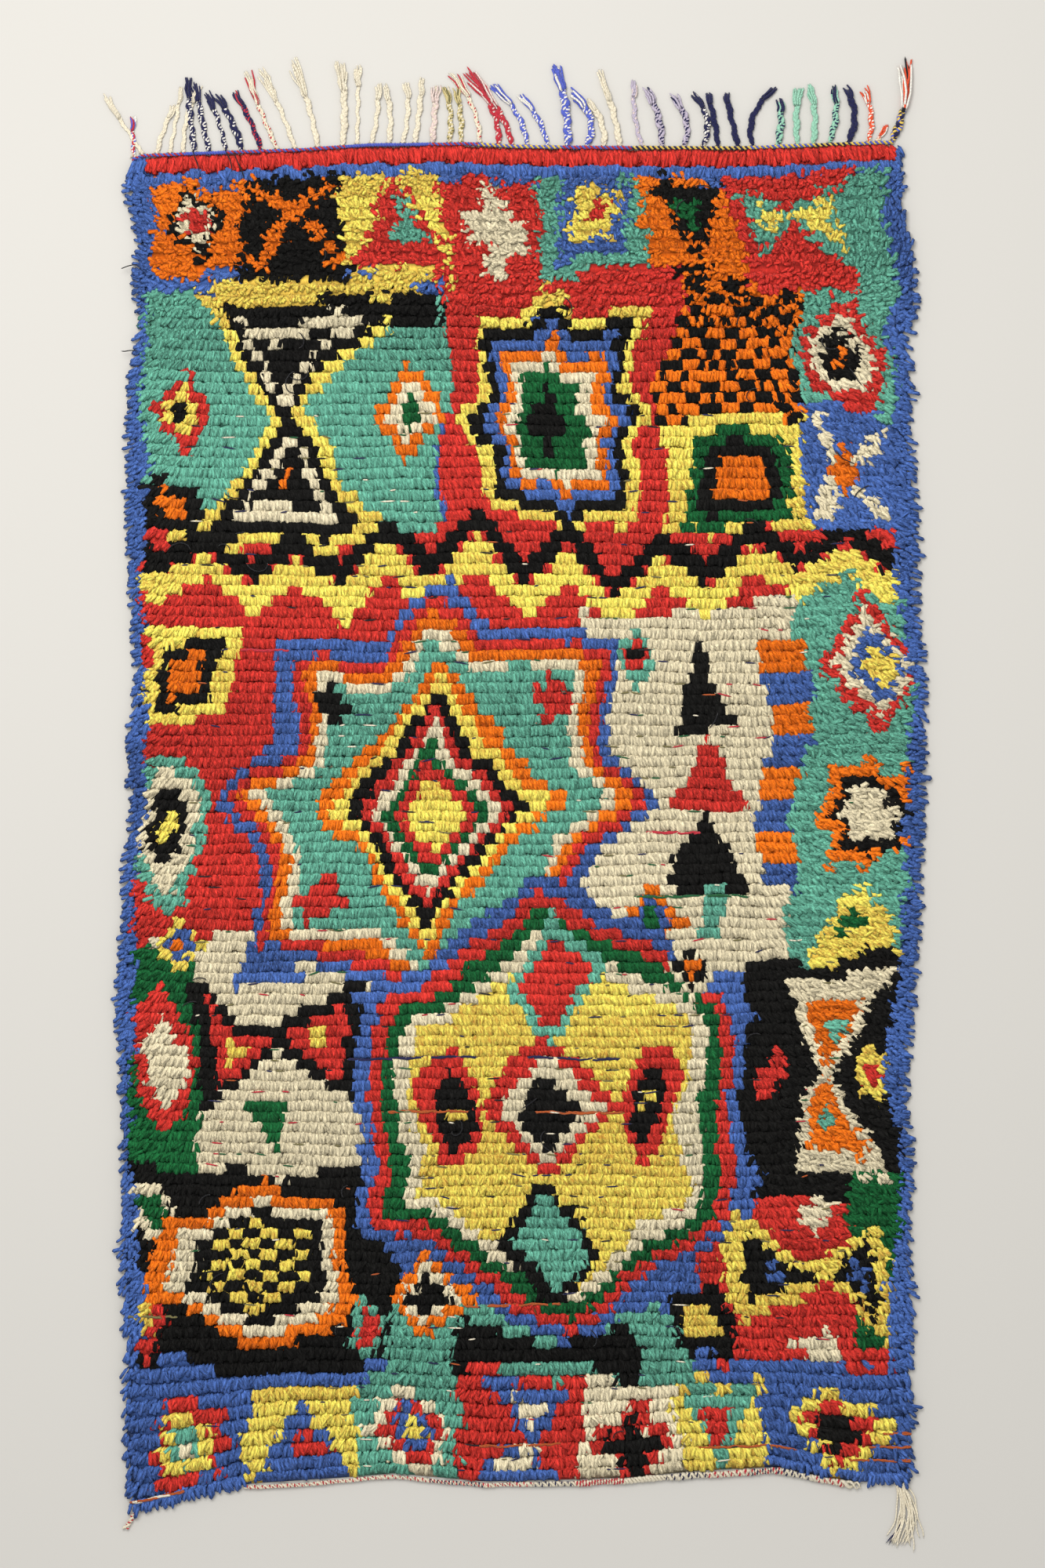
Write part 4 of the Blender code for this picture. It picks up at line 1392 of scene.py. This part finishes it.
def twine(name, line, height, stout, pitch, steps, uneven, left, right, table, slot, node):
    """Two yarns round the cord's line: offset = r (cos p, sin p), p = 2 pi x / pitch + half a turn each.

    r is the cord's thickness times stout, and steps is how many stations a turn has. The pitch, the line and
    the yarn's radius stray by noise times uneven, which also makes the left half finer, and at the right end
    the yarns of an uneven cord part.
    """
    x = np.arange(left, right, pitch / steps)
    own = np.array((0.0, 1.0))[:, None]
    flat = 0 * x
    part = ease(right - PART_LENGTH, right, x) * (uneven > 0.5)
    thick = stout * (1 - FINER_LEFT * uneven * (1 - ease(-0.1, 0.2, x))) * CORD_THICKNESS
    phase = 2 * np.pi * (x - 0.012 * part) / pitch + np.pi * own + 1.6 * uneven * ripple(x * 60, flat, 9)
    swing = thick * CORD_SWING * (1 + 0.9 * part)
    y = line(x) + swing * np.cos(phase) + 0.0015 * uneven * ripple(x * 70, flat, 5)
    radius = thick * CORD_RADIUS * (1 + (0.15 + 0.25 * uneven) * ripple(x * 300, own * 7 + flat, 8))
    radius = radius * (1 - 0.4 * part)
    z = np.maximum(height + 0.6 * swing * np.sin(phase), 1.04 * radius)
    lines = np.stack([x + 0 * phase, y, z], -1)
    side = np.stack([0 * y, 1 + 0 * y, 0 * y], -1)
    number = np.searchsorted([row[0] for row in table], x[1:-1]) - 1
    plies = []
    for ply in (0, -1):
        dyes = np.stack([dyes_of(row[1:], ply) for row in table])[number].transpose(1, 0, 2)
        rings = np.repeat(dyes, TWINE_SIDES, axis=1)
        plies.append(np.concatenate([rings[:, :1], rings, rings[:, -1:]], axis=1))
    plied_piece(name, lines, side, radius, TWINE_SIDES, 1.0, *plies, slot, node)


twine(
    "heading_twine", lambda x: top_line(x) + 2 * GAP + CORD_THICKNESS / 2, 0.0049, 1.0, 0.0078, 5.2, 0.2,
    HEADING_LEFT, HEADING_RIGHT, HEADING_YARNS, "heading", "heading_cord",
)
twine(
    "closing_twine", lambda x: bottom_line(x) - 2 * GAP - CORD_THICKNESS / 2 - CLOSING_DOWN, 0.0048, 1.6,
    0.0105, 7.0, 1.0, CLOSING_LEFT, CLOSING_RIGHT, CLOSING_YARNS, "closing", "closing_cord",
)

# %% [markdown]
# ## Corner tassel and twist
# At the lower right corner the last warps hang out loose, and at the lower left two yarn ends are twisted
# together. The tassel's yarns lie between the part's own six lines, and the twist winds round its line.

# %% Tassel and twist
# Columns, in millimetres: root x, lean to the right, reach, bow to the right, thickness
TASSEL = (
    (539, -10, 84, 10, 2.4), (541, -8, 92, 14, 2.4), (543, -2, 90, 15, 2.4), (545, 2, 91, 13, 2.4),
    (547, 18, 91, 1, 2.4), (549, 16, 64, 9, 2.4),
)
TWIST = ((-553, -14, 24, 1, 6),)
TWIST_ROOT_Y = -1.004
TWIST_TURNS = 2.2
TASSEL_YARNS = 24
NAVY_YARNS = (3, 10)
TASSEL_SIDES = 5
TASSEL_RADIUS = 0.0012
TASSEL_JITTER = 4


def make_tassel():
    """Yarns between the table's rows, with some jitter in lean, reach and bow, each on its own height."""
    table = np.array(TASSEL, float)
    number = np.arange(TASSEL_YARNS)[:, None]
    at = np.linspace(0, len(table) - 1, TASSEL_YARNS)
    rows = np.stack([np.interp(at, np.arange(len(table)), column) for column in table.T], -1)
    rows[:, 1] = 3 + 1.1 * (rows[:, 1] - 3)
    rows[:, 1:4] += rng.normal(0, 1, (TASSEL_YARNS, 3)) * TASSEL_JITTER
    share = np.linspace(0, 1, 16)[None]
    flat = middle_line(rows, bottom_line(rows[:, 0] * MM) - UNDER + 0.006, -1, share)
    flat[..., 0] += 0.0020 * np.sin(share * 11 + number * 2.1) * share
    height = 0.0018 + 0.0016 * (number * 2 % 5) / 2 * (1 - 0.5 * share)
    radius = np.full(height.shape, TASSEL_RADIUS) * (1 - 0.3 * share ** 3)
    dye = dyes_of(["navy" if yarn in NAVY_YARNS else "cream" for yarn in range(TASSEL_YARNS)])
    plied_piece("tassel_yarns", with_height(flat, height), along_x(height), radius, TASSEL_SIDES, 8.0,
                dye, dye, "tassel", "corner_tassel")


def make_twist():
    """Two yarns round the middle line, half a turn apart, that spread at the last fifth."""
    rows = np.array(TWIST, float)
    share = np.linspace(0, 1, 26)[None]
    x, y = middle_line(rows, np.array([TWIST_ROOT_Y]), -1, share)[0].T
    share = share[0]
    thick = rows[0, 4] * MM * 1.25 * (0.6 + 0.4 * ease(0, 0.2, share))
    spread = ease(0.8, 1, share)
    phase = share * 2 * np.pi * TWIST_TURNS + np.array((0, np.pi))[:, None]
    x = x + thick * (0.25 + 0.3 * spread) * np.cos(phase)
    z = thick * 0.5 + thick * 0.24 * np.sin(phase) * (1 - 0.7 * spread)
    lines = np.stack([x, y + 0 * x, z], -1)
    plied_piece("twist_yarns", lines, along_x(x), thick * 0.25 + 0 * x, TASSEL_SIDES, 4.0,
                dyes_of(["red", "cream"]), dyes_of(["cream", "cream"]), "twist", "corner_twist")


make_tassel()
make_twist()
